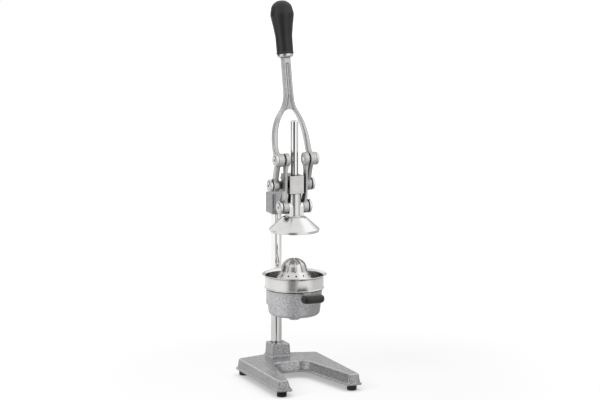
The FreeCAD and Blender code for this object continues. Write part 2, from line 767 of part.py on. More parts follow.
def grip():
    """The collar on the stem and the plastic grip over the tang, leaning with the stem."""
    stem_start, stem_up = stem_axis()
    stem_end = stem_start + stem_up * stem_length
    up = Vec(0, 0, 1)
    collar = rod_along(up, collar_radius, Vec(0, 0, 0), collar_height)
    collar = collar.makeChamfer(2.0, [e for e in collar.Edges if e.BoundBox.ZMax < 1])
    collar = collar.cut(rod_along(up, tang_radius, Vec(0, 0, 0), collar_height))
    points = [Vec(radius, 0, height) for radius, height in grip_profile()]
    curve = Part.BSplineCurve()
    curve.interpolate(points[1:], InitialTangent=Vec(0, 0, 1), FinalTangent=Vec(-1, 0, 0))
    section = Part.Wire([Part.LineSegment(Vec(0, 0, 0), points[0]).toShape(),
                         Part.LineSegment(points[0], points[1]).toShape(), curve.toShape(),
                         Part.LineSegment(points[-1], Vec(0, 0, 0)).toShape()])
    body = Part.Face(section).revolve(Vec(0, 0, 0), up, 360)
    body = body.cut(rod_along(up, tang_radius, Vec(0, 0, 0), tang_length - collar_height))
    body.translate(Vec(0, 0, collar_height))
    for name, piece in (("grip_collar", collar), ("grip", body)):
        piece.rotate(Vec(0, 0, 0), Vec(1, 0, 0), -stem_lean)
        piece.translate(stem_end)
        keep(name, piece)


def strainer_bowl():
    """Spun steel bowl with a seam bead, flared lip and a drained floor that sits in the cup."""
    narrowing = cup_slope * bowl_register_depth
    register = cup_top_radius - cup_wall - narrowing - loose_fit
    inner = bowl_radius - bowl_sheet
    lip_start = bowl_rim - bowl_lip_rise
    body = turned([(0, bowl_floor), (register - bowl_sheet, bowl_floor),
                   (register - bowl_sheet, cup_top - bowl_register_depth),
                   (register, cup_top - bowl_register_depth), (register, cup_top),
                   (bowl_radius + bowl_bead, cup_top),
                   (bowl_radius + bowl_bead, cup_top + bowl_bead_height),
                   (bowl_radius, cup_top + bowl_bead_height + bowl_bead),
                   (bowl_radius, lip_start), (bowl_radius + bowl_lip, bowl_rim - bowl_sheet),
                   (bowl_radius + bowl_lip, bowl_rim), (bowl_radius + bowl_lip - 1, bowl_rim),
                   (inner, lip_start + bowl_sheet), (inner, bowl_floor + bowl_sheet),
                   (0, bowl_floor + bowl_sheet)], rod_y)
    drains = []
    for radius in drain_ring_radii:
        for step in range(drain_holes_per_ring):
            turn = 2 * math.pi * step / drain_holes_per_ring
            centre = Vec(radius * math.cos(turn), rod_y + radius * math.sin(turn), bowl_floor)
            drains.append(rod_along(Vec(0, 0, 1), drain_hole_radius, centre, bowl_sheet))
    body = body.cut(Part.makeCompound(drains))
    body = body.cut(rod_along(Vec(0, 0, 1), reamer_screw_radius, Vec(0, rod_y, bowl_floor),
                              bowl_sheet))
    keep("strainer_bowl", body)


def reamer_profile(extra):
    """Half section of the reamer above its seat, grown by a rib height where ribs stand."""
    tip = reamer_height + extra
    points = [(reamer_neck_radius + extra, reamer_neck_height)]
    for step in range(1, 6):
        turn = step * math.pi / 10
        points.append(((reamer_neck_radius + extra) * math.cos(turn) ** 1.15,
                       reamer_neck_height + (tip - reamer_neck_height) * math.sin(turn)))
    points[-1] = (0, tip)
    return points


def reamer():
    """Ribbed reamer on a flared skirt with a ring of small holes, screwed to the bowl floor."""
    seat = bowl_floor + bowl_sheet
    skirt = [(0, 0), (reamer_base_radius, 0), (reamer_base_radius, reamer_base_height / 2),
             (reamer_base_radius - 1.5, reamer_base_height),
             (reamer_skirt_radius, reamer_skirt_height)]
    core = [(radius, seat + height) for radius, height in skirt + reamer_profile(0)]
    body = turned(core, rod_y)
    grown = [(0, reamer_neck_height)] + reamer_profile(reamer_rib_height)
    ridge = turned([(radius, seat + height) for radius, height in grown], rod_y)
    blades = []
    for step in range(reamer_rib_count // 2):
        blade = box((-reamer_neck_radius * 2, reamer_neck_radius * 2),
                    (-reamer_rib_width / 2, reamer_rib_width / 2),
                    (seat, seat + reamer_height - reamer_tip_radius / 2))
        blade.rotate(Vec(0, 0, 0), Vec(0, 0, 1), 360 * step / reamer_rib_count)
        blade.translate(Vec(0, rod_y, 0))
        blades.append(blade)
    for blade in blades:
        body = body.fuse(ridge.common(blade))
    middle = (reamer_skirt_height + reamer_neck_height) / 2
    ring_radius = (reamer_skirt_radius + reamer_neck_radius) / 2
    for step in range(reamer_hole_count):
        turn = 2 * math.pi * (step + 0.5) / reamer_hole_count
        outward = Vec(math.cos(turn), math.sin(turn), 0)
        start = Vec(0, rod_y, seat + middle) + outward * (ring_radius - reamer_hole_depth)
        body = body.cut(rod_along(outward, reamer_hole_radius, start, reamer_hole_depth * 3))
    body = body.cut(rod_along(Vec(0, 0, 1), reamer_screw_radius, Vec(0, rod_y, seat),
                              reamer_screw_length))
    keep("reamer_cone", body)
    head = rod_along(Vec(0, 0, 1), reamer_screw_head_radius,
                     Vec(0, rod_y, bowl_floor - reamer_screw_head_height),
                     reamer_screw_head_height)
    shank = rod_along(Vec(0, 0, 1), reamer_screw_radius, Vec(0, rod_y, bowl_floor),
                      bowl_sheet + reamer_screw_length)
    keep("reamer_screw", head.fuse(shank))


def stadium(length, width, y, z, height):
    """A flat bar with round ends lying along X."""
    half = length / 2 - width / 2
    radius = width / 2
    wire = Part.Wire([
        Part.LineSegment(Vec(-half, y - radius, z), Vec(half, y - radius, z)).toShape(),
        Part.Arc(Vec(half, y - radius, z), Vec(half + radius, y, z),
                 Vec(half, y + radius, z)).toShape(),
        Part.LineSegment(Vec(half, y + radius, z), Vec(-half, y + radius, z)).toShape(),
        Part.Arc(Vec(-half, y + radius, z), Vec(-half - radius, y, z),
                 Vec(-half, y - radius, z)).toShape()])
    return Part.Face(wire).extrude(Vec(0, 0, height))


def strainer_handle():
    """The plastic finger tab, the steel strap welded to the bowl bead, and the tab's screw."""
    tab_y = rod_y - tab_centre_reach
    tab_middle = cup_top - tab_drop
    tab_bottom = tab_middle - tab_thickness / 2
    tab = stadium(tab_length, tab_width, tab_y, tab_bottom, tab_thickness)
    tab = tab.makeFillet(tab_edge, tab.Edges)
    bead_radius = bowl_radius + bowl_bead
    root = rod_y - bead_radius
    root_top = cup_top + bowl_bead_height
    root_bottom = root_top - strap_sheet + running_fit
    tab_inner = tab_y + tab_width / 2
    low = tab_middle - strap_sheet / 2
    high = low + strap_sheet
    tip = tab_inner - strap_grip
    points = [(root + 2, root_top), (root - 3, root_top), (tab_inner + 1, high), (tip, high),
              (tip, low), (tab_inner + 1, low), (root - 3, root_bottom), (root + 2, root_bottom)]
    corners = [Vec(-strap_half_width, y, z) for y, z in points]
    strap = Part.Face(Part.makePolygon(corners + corners[:1]))
    strap = strap.extrude(Vec(2 * strap_half_width, 0, 0))
    up = Vec(0, 0, 1)
    strap = strap.cut(rod_along(up, bead_radius, Vec(0, rod_y, 0), bowl_rim))
    tab = tab.cut(strap)
    foot = Vec(0, tab_inner - tab_screw_inset, tab_bottom)
    head_top = foot + up * tab_screw_head_height
    shank = rod_along(up, tab_screw_radius, head_top, high - head_top.z)
    head = rod_along(up, tab_screw_head_radius, foot, tab_screw_head_height)
    screw = head.fuse(shank)
    keep("strainer_handle", tab.cut(screw))
    keep("handle_strap", strap.cut(shank))
    keep("handle_screw", screw)


def main():
    """Build every sub-part and write one STEP file for each."""
    os.makedirs("parts", exist_ok=True)
    for build in (base_casting, feet, column, cup_casting, bracket_casting, guide,
                  pivot_hardware, links, press_head, lever_yoke, grip, strainer_bowl, reamer,
                  strainer_handle):
        build()
    for name, shape in made.items():
        shape.exportStep("parts/" + name + ".step")
        print(name, "valid" if shape.isValid() else "NOT VALID", len(shape.Solids), "solids",
              round(shape.Volume), "mm3")


main()
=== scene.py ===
"""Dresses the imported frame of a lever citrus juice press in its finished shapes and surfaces.

Sizes in the classes are millimetres in the frame of the CAD model: +Z up, front towards -Y,
origin on the table below the middle of the press. Meshes are scaled to metres when a piece is
finished.
"""

import logging
import math
from dataclasses import dataclass
from enum import Enum
from typing import Iterable, Sequence

import bmesh
import bpy
from mathutils import Matrix, Vector

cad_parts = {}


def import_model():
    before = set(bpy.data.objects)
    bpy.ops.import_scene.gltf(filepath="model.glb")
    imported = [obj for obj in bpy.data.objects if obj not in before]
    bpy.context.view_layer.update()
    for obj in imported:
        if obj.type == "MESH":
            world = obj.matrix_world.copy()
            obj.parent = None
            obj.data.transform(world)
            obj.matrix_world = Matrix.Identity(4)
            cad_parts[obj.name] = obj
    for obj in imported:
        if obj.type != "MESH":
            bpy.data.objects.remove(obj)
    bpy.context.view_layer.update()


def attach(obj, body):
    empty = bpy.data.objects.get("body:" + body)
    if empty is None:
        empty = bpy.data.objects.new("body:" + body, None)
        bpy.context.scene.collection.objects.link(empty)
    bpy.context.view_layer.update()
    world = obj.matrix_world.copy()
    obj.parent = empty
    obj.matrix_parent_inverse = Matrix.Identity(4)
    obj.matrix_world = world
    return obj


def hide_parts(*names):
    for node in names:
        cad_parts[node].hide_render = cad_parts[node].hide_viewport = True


log = logging.getLogger("press")

MM = 0.001
UP = Vector((0.0, 0.0, 1.0))
BACK = Vector((0.0, 1.0, 0.0))
RIGHT = Vector((1.0, 0.0, 0.0))
FULL_TURN = 2.0 * math.pi
WELD = 0.0005
SHARP = math.radians(35.0)

Mesh = bmesh.types.BMesh
Edges = list[bmesh.types.BMEdge]
Socket = bpy.types.NodeSocket
Material = bpy.types.Material
Colour = tuple[float, float, float, float]
Profile = Sequence[tuple[float, float, float]]
Station = tuple[Vector, float, float]
Pair = tuple[float, float]


class Body(Enum):
    """The moving bodies of the press."""

    FRAME = "frame"
    LEVER = "lever"
    LINK_LEFT = "link_left"
    LINK_RIGHT = "link_right"
    PRESS_HEAD = "press_head"
    STRAINER = "strainer"


class Side(Enum):
    """A side of the press, as the sign of X."""

    LEFT = -1
    RIGHT = 1

    @property
    def word(self) -> str:
        """The side's name in lower case."""
        return self.name.lower()


# Shader graph


class Value:
    """A shader socket that takes part in Python arithmetic."""

    def __init__(self, graph: "Graph", socket: Socket) -> None:
        """Wrap a socket of a graph."""
        self.graph = graph
        self.socket = socket

    def _math(self, operation: str, first: object, second: object = 0.0) -> "Value":
        """Add one Math node."""
        return self.graph.value("ShaderNodeMath", 0, {"operation": operation},
                                {0: first, 1: second})

    def __add__(self, other: object) -> "Value":
        """Sum."""
        return self._math("ADD", self, other)

    def __sub__(self, other: object) -> "Value":
        """Difference."""
        return self._math("SUBTRACT", self, other)

    def __rsub__(self, other: object) -> "Value":
        """Reflected difference."""
        return self._math("SUBTRACT", other, self)

    def __mul__(self, other: object) -> "Value":
        """Product."""
        return self._math("MULTIPLY", self, other)

    def __truediv__(self, other: object) -> "Value":
        """Quotient."""
        return self._math("DIVIDE", self, other)

    __radd__ = __add__
    __rmul__ = __mul__

    def root(self) -> "Value":
        """Square root."""
        return self._math("SQRT", self)

    def above(self, low: float, high: float) -> "Value":
        """Rise from 0 at a low value to 1 at a high one."""
        return self.graph.value("ShaderNodeMapRange", 0, {"clamp": True},
                                {"Value": self, "From Min": low, "From Max": high})


class Graph:
    """The node tree of one material or world, built through a single method for nodes."""

    def __init__(self, owner: "Material | bpy.types.World") -> None:
        """Empty the tree of a material or world.

        Args:
            owner: What the tree belongs to.
        """
        owner.use_nodes = True
        self.owner = owner
        self.tree = owner.node_tree
        self.tree.nodes.clear()

    def node(self, kind: str, settings: dict | None = None,
             inputs: dict | None = None) -> bpy.types.Node:
        """Add a node, set it up and feed it.

        Args:
            kind: The node's Blender type.
            settings: Attributes to set first.
            inputs: Socket names or numbers with their numbers, colours or links.

        Returns:
            The new node.
        """
        made = self.tree.nodes.new(kind)
        for key, value in (settings or {}).items():
            setattr(made, key, value)
        for key, value in (inputs or {}).items():
            source = getattr(value, "socket", value)
            if isinstance(source, Socket):
                self.tree.links.new(source, made.inputs[key])
            else:
                made.inputs[key].default_value = source
        return made

    def value(self, kind: str, out: int | str, settings: dict | None = None,
              inputs: dict | None = None) -> Value:
        """Add a node as the method above does and wrap one of its outputs."""
        return Value(self, self.node(kind, settings, inputs).outputs[out])

    def place(self, kind: str = "Object") -> Socket:
        """The Object coordinates of the shaded point, or a world's Generated ones."""
        return self.node("ShaderNodeTexCoord").outputs[kind]

    def axes(self, kind: str = "Object") -> tuple[Value, Value, Value]:
        """The same coordinates as three values."""
        split = self.node("ShaderNodeSeparateXYZ", inputs={0: self.place(kind)})
        return tuple(Value(self, out) for out in split.outputs)

    def noise(self, scale: float, detail: float = 3.0, rough: float = 0.55,
              vector: Socket | None = None) -> Value:
        """Fractal noise between 0 and 1.

        Args:
            scale: Waves to the metre.
            detail: Octaves.
            rough: Weight of the finer octaves.
            vector: Coordinates, or Object coordinates where left out.

        Returns:
            The noise value.
        """
        return self.value("ShaderNodeTexNoise", "Fac", inputs={
            "Vector": vector or self.place(), "Scale": scale, "Detail": detail,
            "Roughness": rough})

    def cells(self, scale: float, soft: float = 0.6) -> Value:
        """Distance from the middle of soft random cells.

        Args:
            scale: Cells to the metre.
            soft: How far cells melt into each other.

        Returns:
            The distance, about 0 to 0.7.
        """
        return self.value("ShaderNodeTexVoronoi", "Distance", {"feature": "SMOOTH_F1"}, {
            "Vector": self.place(), "Scale": scale, "Smoothness": soft})

    def corner(self, low: float, high: float) -> Value:
        """A mask of outward corners and edges."""
        return self.value("ShaderNodeNewGeometry", "Pointiness").above(low, high)

    def stretched(self, x: Value, y: Value, z: Value) -> Socket:
        """Join three values into a coordinate."""
        return self.node("ShaderNodeCombineXYZ", inputs={0: x, 1: y, 2: z}).outputs[0]

    def painted_shade(self, colour: Value, reach: float, deepest: float = 0.02) -> Value:
        """Paint shade into a colour in gaps, seats and inner corners, by ambient occlusion.

        Args:
            colour: The colour in the open.
            reach: How far away another surface still tells, in millimetres.
            deepest: Grey of the painted shade at the bottom of a narrow gap.

        Returns:
            The colour with its painted shade.
        """
        # Ambient occlusion darkens the base colour: painted shade where other surfaces stand
        # near.
        room = self.value("ShaderNodeAmbientOcclusion", "AO", {"samples": 6},
                          {"Distance": reach * MM}).above(0.26, 0.90)
        return self.blend(room, grey(deepest), colour)

    def blend(self, factor: Value, low: "Colour | Value", high: "Colour | Value") -> Value:
        """Mix two colours by a factor."""
        return self.value("ShaderNodeMix", 2, {"data_type": "RGBA", "clamp_factor": True},
                          {0: factor, 6: low, 7: high})

    def relief(self, height: Value, depth: float, strength: float = 1.0) -> Value:
        """Turn a height into a bumped normal.

        Args:
            height: Height from 0 to 1.
            depth: Depth in millimetres of the whole height.
            strength: Share of the relief that shows.

        Returns:
            The normal.
        """
        return self.value("ShaderNodeBump", 0, inputs={
            "Height": height, "Distance": depth * MM, "Strength": strength})

    def mixed(self, factor: Value, low: bpy.types.Node, high: bpy.types.Node) -> bpy.types.Node:
        """Mix two shaders by a factor."""
        return self.node("ShaderNodeMixShader", inputs={0: factor, 1: low.outputs[0],
                                                        2: high.outputs[0]})

    def surface(self, colour: Value, rough: Value, normal: Value, **fixed: float) -> Material:
        """Close the graph with one principled shader.

        Args:
            colour: The base colour.
            rough: The roughness.
            normal: The bumped normal.
            fixed: Constants for other sockets, with _ for a space.

        Returns:
            The finished material.
        """
        inputs = {key.replace("_", " "): value for key, value in fixed.items()}
        shader = self.node("ShaderNodeBsdfPrincipled", inputs={
            **inputs, "Base Color": colour, "Roughness": rough, "Normal": normal})
        self.node("ShaderNodeOutputMaterial", inputs={"Surface": shader.outputs[0]})
        return self.owner


def grey(level: float, warm: float = 0.0) -> Colour:
    """A grey, drawn towards cream by a warm share.

    Args:
        level: Linear brightness.
        warm: Share taken from blue, half of it from green.

    Returns:
        The colour.
    """
    return (level, level * (1.0 - 0.5 * warm), level * (1.0 - warm), 1.0)


# Finishes


@dataclass(frozen=True)
class Finish:
    """A finish for one material slot; its name keeps its material apart from the frame's."""

    slot: str
    name: str = "finish"

    def material(self) -> Material:
        """The finish's material, made once.

        Returns:
            The finished material, made once.
        """
        label = f"{self.slot}_{self.name}"
        found = bpy.data.materials.get(label)
        return found or self.shade(Graph(bpy.data.materials.new(label)))

    def shade(self, graph: Graph) -> Material:
        """Build the material.

        Args:
            graph: The material's empty graph.

        Returns:
            The finished material.
        """
        raise NotImplementedError


@dataclass(frozen=True)
class HammeredPaint(Finish):
    """Silver hammer paint over a casting: small dimples, speckle, and high spots lightened as
    wear and painted highlight.

    The paint is lightened, as wear and painted highlight, where edges stick out, or between two
    heights where a seat is given. Painted shade darkens it near other surfaces.
    """

    light: float = 0.56
    dark: float = 0.10
    dimples: float = 330.0
    contrast: float = 1.3
    depth: float = 0.8
    metallic: float = 0.45
    roughness: float = 0.34
    reach: float = 9.0
    wear_and_highlight_level: float = 0.4
    seat: Pair | None = None

    @staticmethod
    def tone(level: float) -> Colour:
        """The paint's faintly blue grey."""
        return (level * 1.01, level, level * 1.025, 1.0)

    def wear_and_highlight(self, graph: Graph) -> Value:
        """A mask of the places where the paint is lightened as wear and painted highlight.

        Args:
            graph: The material's graph.

        Returns:
            1 where the paint is lightened as wear and painted highlight.
        """
        if not self.seat:
            return graph.corner(0.51, 0.58)
        low, high = (level * MM for level in self.seat)
        height = graph.axes()[2]
        return height.above(low, low + 0.8 * MM) - height.above(high - 0.2 * MM, high)

    def shade(self, graph: Graph) -> Material:
        """Build the paint.

        Args:
            graph: The material's empty graph.

        Returns:
            The finished material.
        """
        dimple = graph.cells(self.dimples)
        fine = graph.noise(1500.0, 3.0, 0.6)
        cloud = graph.noise(24.0, 3.0)
        grain = graph.noise(self.dimples, 1.0, 0.5)
        # The mask lightens the speckle: wear and painted highlight.
        speckle = ((grain - 0.5) * self.contrast + (dimple - 0.3) * 0.7 + (fine - 0.5) * 0.6
                   + (cloud - 0.5) * 0.4 + self.wear_and_highlight(graph) * self.wear_and_highlight_level
                   + 0.5).above(0.0, 1.0)
        colour = graph.blend(speckle, self.tone(self.dark), self.tone(self.light))
        rough = self.roughness + fine * 0.16 - dimple * 0.12
        normal = graph.relief(dimple * 0.8 + grain * 0.6 + fine * 0.2, self.depth, 0.8)
        # Painted shade in gaps and seats near other surfaces.
        return graph.surface(graph.painted_shade(colour, self.reach, self.dark * 0.3), rough, normal,
                             Metallic=self.metallic, Coat_Weight=0.25, Coat_Roughness=0.2)


@dataclass(frozen=True)
class Chrome(Finish):
    """Bright plating with faint wiping marks along the bar."""

    def shade(self, graph: Graph) -> Material:
        """Build the plating.

        Args:
            graph: The material's empty graph.

        Returns:
            The finished material.
        """
        x, y, z = graph.axes()
        wipe = graph.noise(1.0, 4.0, 0.6, graph.stretched(x * 900.0, y * 900.0, z * 14.0))
        cloud = graph.noise(35.0, 3.0)
        colour = graph.blend(cloud, grey(0.90, 0.01), grey(0.96, 0.02))
        # Painted shade where other parts stand within 5 mm.
        return graph.surface(graph.painted_shade(colour, 5.0), 0.02 + wipe * 0.04 + cloud * 0.03,
                             graph.relief(wipe, 0.002, 0.5), Metallic=1.0)


@dataclass(frozen=True)
class TurnedMetal(Finish):
    """Metal turned on a lathe: fine rings round an axis, with a soft mottle."""

    centre: tuple[float, float, float] = (0.0, 0.0, 0.0)
    across: str = "YZ"
    light: float = 0.82
    dark: float = 0.60
    warm: float = 0.02
    roughness: float = 0.10
    rings: float = 2600.0
    depth: float = 0.02
    reach: float = 5.0

    def shade(self, graph: Graph) -> Material:
        """Build the metal.

        Args:
            graph: The material's empty graph.

        Returns:
            The finished material.
        """
        axes = dict(zip("XYZ", graph.axes()))
        middle = dict(zip("XYZ", self.centre))
        u, v = (axes[axis] - middle[axis] * MM for axis in self.across)
        radius = (u * u + v * v).root()
        along = axes[(set("XYZ") - set(self.across)).pop()]
        line = graph.noise(1.0, 3.0, 0.6, graph.stretched(
            radius * self.rings, along * self.rings * 0.5, u * 12.0))
        cloud = graph.noise(90.0, 3.0)
        mixed = (line * 0.6 + cloud * 0.6 - 0.1).above(0.1, 0.9)
        colour = graph.blend(mixed, grey(self.dark, self.warm), grey(self.light, self.warm))
        # Painted shade near other parts, within the finish's reach.
        return graph.surface(graph.painted_shade(colour, self.reach),
                             self.roughness + line * 0.12 + cloud * 0.06,
                             graph.relief(line, self.depth, 0.7), Metallic=1.0)


@dataclass(frozen=True)
class BrushedMetal(Finish):
    """Sheet steel brushed round an upright axis, a little warm, with handling marks."""

    centre_y: float = 9.1
    light: float = 0.98
    dark: float = 0.78
    warm: float = 0.04
    roughness: float = 0.20

    def shade(self, graph: Graph) -> Material:
        """Build the brushed sheet.

        Args:
            graph: The material's empty graph.

        Returns:
            The finished material.
        """
        x, y, z = graph.axes()
        v = y - self.centre_y * MM
        radius = (x * x + v * v).root()
        line = graph.noise(1.0, 4.0, 0.65, graph.stretched(
            x / radius * 3.0, v / radius * 3.0, (z + radius) * 2600.0))
        mixed = (line * 0.75 + graph.noise(40.0, 3.0) * 0.45 - 0.1).above(0.1, 0.9)
        colour = graph.blend(mixed, grey(self.dark, self.warm), grey(self.light, self.warm))
        rough = self.roughness + line * 0.16 + graph.noise(320.0, 2.0) * 0.06 - 0.06
        # Painted shade, down to grey 0.20, wherever another surface stands within 30 mm.
        return graph.surface(graph.painted_shade(colour, 30.0, 0.20), rough,
                             graph.relief(line, 0.02, 0.6), Metallic=1.0)


@dataclass(frozen=True)
class SatinCasting(Finish):
    """Tumbled cast aluminium: satin, with a fine grain, high edges lightened as burnish and
    painted highlight, and painted shade near other surfaces.
    """

    light: float = 0.80
    dark: float = 0.46
    roughness: float = 0.20
    grain: float = 900.0
    depth: float = 0.06
    reach: float = 24.0

    def shade(self, graph: Graph) -> Material:
        """Build the casting's skin.

        Args:
            graph: The material's empty graph.

        Returns:
            The finished material.
        """
        fine = graph.noise(self.grain, 4.0, 0.65)
        cloud = graph.noise(55.0, 3.0)
        # High edges lightened: tumbling burnish and painted highlight.
        high = graph.corner(0.49, 0.56)
        mixed = (fine * 0.5 + cloud * 0.4 + high * 0.5 - 0.15).above(0.0, 1.0)
        colour = graph.blend(mixed, grey(self.dark, 0.01), grey(self.light, 0.02))
        # Painted shade near other parts, over the finish's reach.
        return graph.surface(graph.painted_shade(colour, self.reach),
                             self.roughness + fine * 0.16 - high * 0.08,
                             graph.relief(fine * 0.7 + cloud * 0.8, self.depth, 0.6),
                             Metallic=0.7)


@dataclass(frozen=True)
class MouldedPlastic(Finish):
    """Dark moulded plastic or rubber with a fine pebble and dusty high spots."""

    level: float = 0.014
    dust: float = 0.010
    roughness: float = 0.42
    coat: float = 0.1
    pebble: float = 1300.0
    depth: float = 0.06

    def shade(self, graph: Graph) -> Material:
        """Build the plastic.

        Args:
            graph: The material's empty graph.

        Returns:
            The finished material.
        """
        cloud = graph.noise(60.0, 4.0)
        scuff = graph.noise(700.0, 2.0).above(0.62, 0.85)
        colour = graph.blend((cloud * 0.7 + scuff * 0.5).above(0.0, 1.0),
                             grey(self.level, 0.02), grey(self.level + self.dust, 0.04))
        normal = graph.relief(graph.cells(self.pebble, 0.4) + cloud * 0.4, self.depth, 0.6)
        return graph.surface(colour, self.roughness + cloud * 0.14 - 0.07 + scuff * 0.08, normal,
                             Coat_Weight=self.coat, Coat_Roughness=0.35)


# Meshes


def chain(bm: Mesh, points: Iterable[Vector], closed: bool = True) -> list:
    """Join points by edges.

    Args:
        bm: The mesh that takes them.
        points: The corners in order.
        closed: Whether the last corner joins the first.

    Returns:
        The new vertices in order.
    """
    verts = [bm.verts.new(point) for point in points]
    ends = verts[1:] + verts[:1] if closed else verts[1:]
    for start, end in zip(verts, ends):
        bm.edges.new((start, end))
    return verts


def round_corner(bm: Mesh, vert: bmesh.types.BMVert, radius: float, segments: int) -> None:
    """Round a corner of a wire to a radius.

    Args:
        bm: The mesh that holds the wire.
        vert: The corner, with one edge on each side.
        radius: The radius of the arc.
        segments: Straight runs in the arc.
    """
    first, second = (edge.other_vert(vert).co - vert.co for edge in vert.link_edges)
    tangent = radius / math.tan(first.angle(second) / 2.0)
    bmesh.ops.bevel(bm, geom=[vert], offset=tangent, offset_type="OFFSET", segments=segments,
                    profile=0.5, affect="VERTICES", clamp_overlap=False, material=-1)


def ring(bm: Mesh, corners: Iterable[Vector], radii: Sequence[float], segments: int) -> Edges:
    """A closed wire with rounded corners.

    Args:
        bm: The mesh that takes it.
        corners: The sharp corners in order.
        radii: The radius at each corner.
        segments: Straight runs in each arc.

    Returns:
        The wire's edges.
    """
    before = set(bm.edges)
    for vert, radius in zip(chain(bm, corners), radii):
        round_corner(bm, vert, radius, segments)
    return [edge for edge in bm.edges if edge not in before]


def oblong(bm: Mesh, half: float, front: float, back: float, z: float,
           radii: Sequence[float], segments: int) -> Edges:
    """A level rounded rectangle, centred on X.

    Args:
        bm: The mesh that takes it.
        half: Half its width.
        front: Y of its front.
        back: Y of its back.
        z: Its height.
        radii: The radius at each corner.
        segments: Straight runs in each arc.

    Returns:
        The wire's edges.
    """
    plan = ((half, back), (half, front), (-half, front), (-half, back))
    return ring(bm, [Vector((x, y, z)) for x, y in plan], radii, segments)


def skin(bm: Mesh, rings: Sequence[Edges], caps: bool = True) -> Mesh:
    """Cover a row of rings with faces.

    Args:
        bm: The mesh that holds them.
        rings: Rings with as many edges each, in order.
        caps: Whether the first and last ring are closed.

    Returns:
        The closed mesh, with its faces outwards.
    """
    for lower, upper in zip(rings, rings[1:]):
        bmesh.ops.bridge_loops(bm, edges=lower + upper)
    for end in (rings[0], rings[-1]) if caps else ():
        bmesh.ops.edgeloop_fill(bm, edges=end)
    return set_normals(bm)


def set_normals(bm: Mesh) -> Mesh:
    """Weld doubles and turn every face outwards.

    Args:
        bm: The mesh to mend.

    Returns:
        The same mesh.
    """
    bmesh.ops.remove_doubles(bm, verts=bm.verts, dist=WELD)
    bmesh.ops.dissolve_degenerate(bm, edges=bm.edges, dist=WELD)
    bmesh.ops.recalc_face_normals(bm, faces=bm.faces)
    return bm


def turned(profile: Profile, steps: int = 96, segments: int = 4) -> Mesh:
    """Spin a half section about +Z.

    Args:
        profile: Radius, height and corner radius of each point in order. A section that starts
            and ends on the axis is left open there.
        steps: Steps round the axis.
        segments: Straight runs in each rounded corner.

    Returns:
        The closed mesh.
    """
    bm = bmesh.new()
    closed = profile[0][0] > 0.0 or profile[-1][0] > 0.0
    verts = chain(bm, [Vector((radius, 0.0, height)) for radius, height, _ in profile], closed)
    for vert, (_, _, radius) in zip(verts, profile):
        if radius > 0.0:
            round_corner(bm, vert, radius, segments)
    bmesh.ops.spin(bm, geom=bm.verts[:] + bm.edges[:], cent=(0, 0, 0), axis=UP, dvec=(0, 0, 0),
                   angle=FULL_TURN, steps=steps, use_merge=True, use_duplicate=False)
    return set_normals(bm)


def collar(radii: Pair, heights: Pair, edges: Pair, steps: int) -> Mesh:
    """A disc or ring about +Z.

    Args:
        radii: Its inner radius, which may be 0, and its outer one.
        heights: Its two ends.
        edges: Radius of the outer edge at each end.
        steps: Steps round the axis.

    Returns:
        The mesh.
    """
    (inner, outer), (low, high) = radii, heights
    return turned([(inner, low, 0.0), (outer, low, edges[0]), (outer, high, edges[1]),
                   (inner, high, 0.0)], steps)


def facing(direction: Vector, at: Sequence[float], axis: str = "Z") -> Matrix:
    """A matrix that turns an axis to a direction and moves the origin to a point."""
    return Matrix.Translation(at) @ direction.to_track_quat(axis, "Y").to_matrix().to_4x4()


def laid(bm: Mesh, matrix: Matrix) -> Mesh:
    """Put a mesh where a matrix says."""
    bmesh.ops.transform(bm, matrix=matrix, verts=bm.verts)
    return bm


def add(bm: Mesh, other: Mesh, matrix: Matrix | None = None) -> Mesh:
    """Put a copy of one mesh into another.

    Args:
        bm: The mesh that grows.
        other: The mesh to put in; it is freed.
        matrix: Where it goes.

    Returns:
        The grown mesh.
    """
    if matrix is not None:
        laid(other, matrix)
    mesh = bpy.data.meshes.new("part")
    other.to_mesh(mesh)
    other.free()
    bm.from_mesh(mesh)
    bpy.data.meshes.remove(mesh)
    return bm


def flipped(bm: Mesh) -> Mesh:
    """Mirror a mesh to the other side of the press.

    Args:
        bm: The mesh to mirror.

    Returns:
        The same mesh.
    """
    bmesh.ops.scale(bm, vec=(-1.0, 1.0, 1.0), verts=bm.verts)
    bmesh.ops.reverse_faces(bm, faces=bm.faces)
    return bm


def eased(bm: Mesh, edges: Edges, radius: float, segments: int = 3) -> Mesh:
    """Round some edges of a mesh.

    Args:
        bm: The mesh.
        edges: The edges to round.
        radius: Their new radius.
        segments: Straight runs in each arc.

    Returns:
        The same mesh.
    """
    bmesh.ops.bevel(bm, geom=edges, offset=radius, offset_type="OFFSET", segments=segments,
                    profile=0.5, affect="EDGES", clamp_overlap=True, material=-1)
    return bm


def block(size: Sequence[float], centre: Sequence[float], edge: float) -> Mesh:
    """A block with rounded edges.

    Args:
        size: Its lengths along X, Y and Z.
        centre: Its middle.
        edge: The radius of its edges.

    Returns:
        The mesh.
    """
    bm = bmesh.new()
    bmesh.ops.create_cube(bm, size=1.0)
    bmesh.ops.scale(bm, vec=Vector(size), verts=bm.verts)
    return eased(laid(bm, Matrix.Translation(centre)), bm.edges[:], edge, 4)


def plate(bm: Mesh, width: float) -> Mesh:
    """Fill the wire that a mesh holds and thicken it along +X.

    Args:
        bm: The mesh with nothing but the wire.
        width: The plate's thickness.

    Returns:
        The same mesh, closed.
    """
    face = bmesh.ops.edgeloop_fill(bm, edges=bm.edges[:])["faces"][0]
    grown = bmesh.ops.extrude_face_region(bm, geom=[face])["geom"]
    bmesh.ops.translate(bm, vec=(width, 0.0, 0.0),
                        verts=[item for item in grown if isinstance(item, bmesh.types.BMVert)])
    return set_normals(bm)


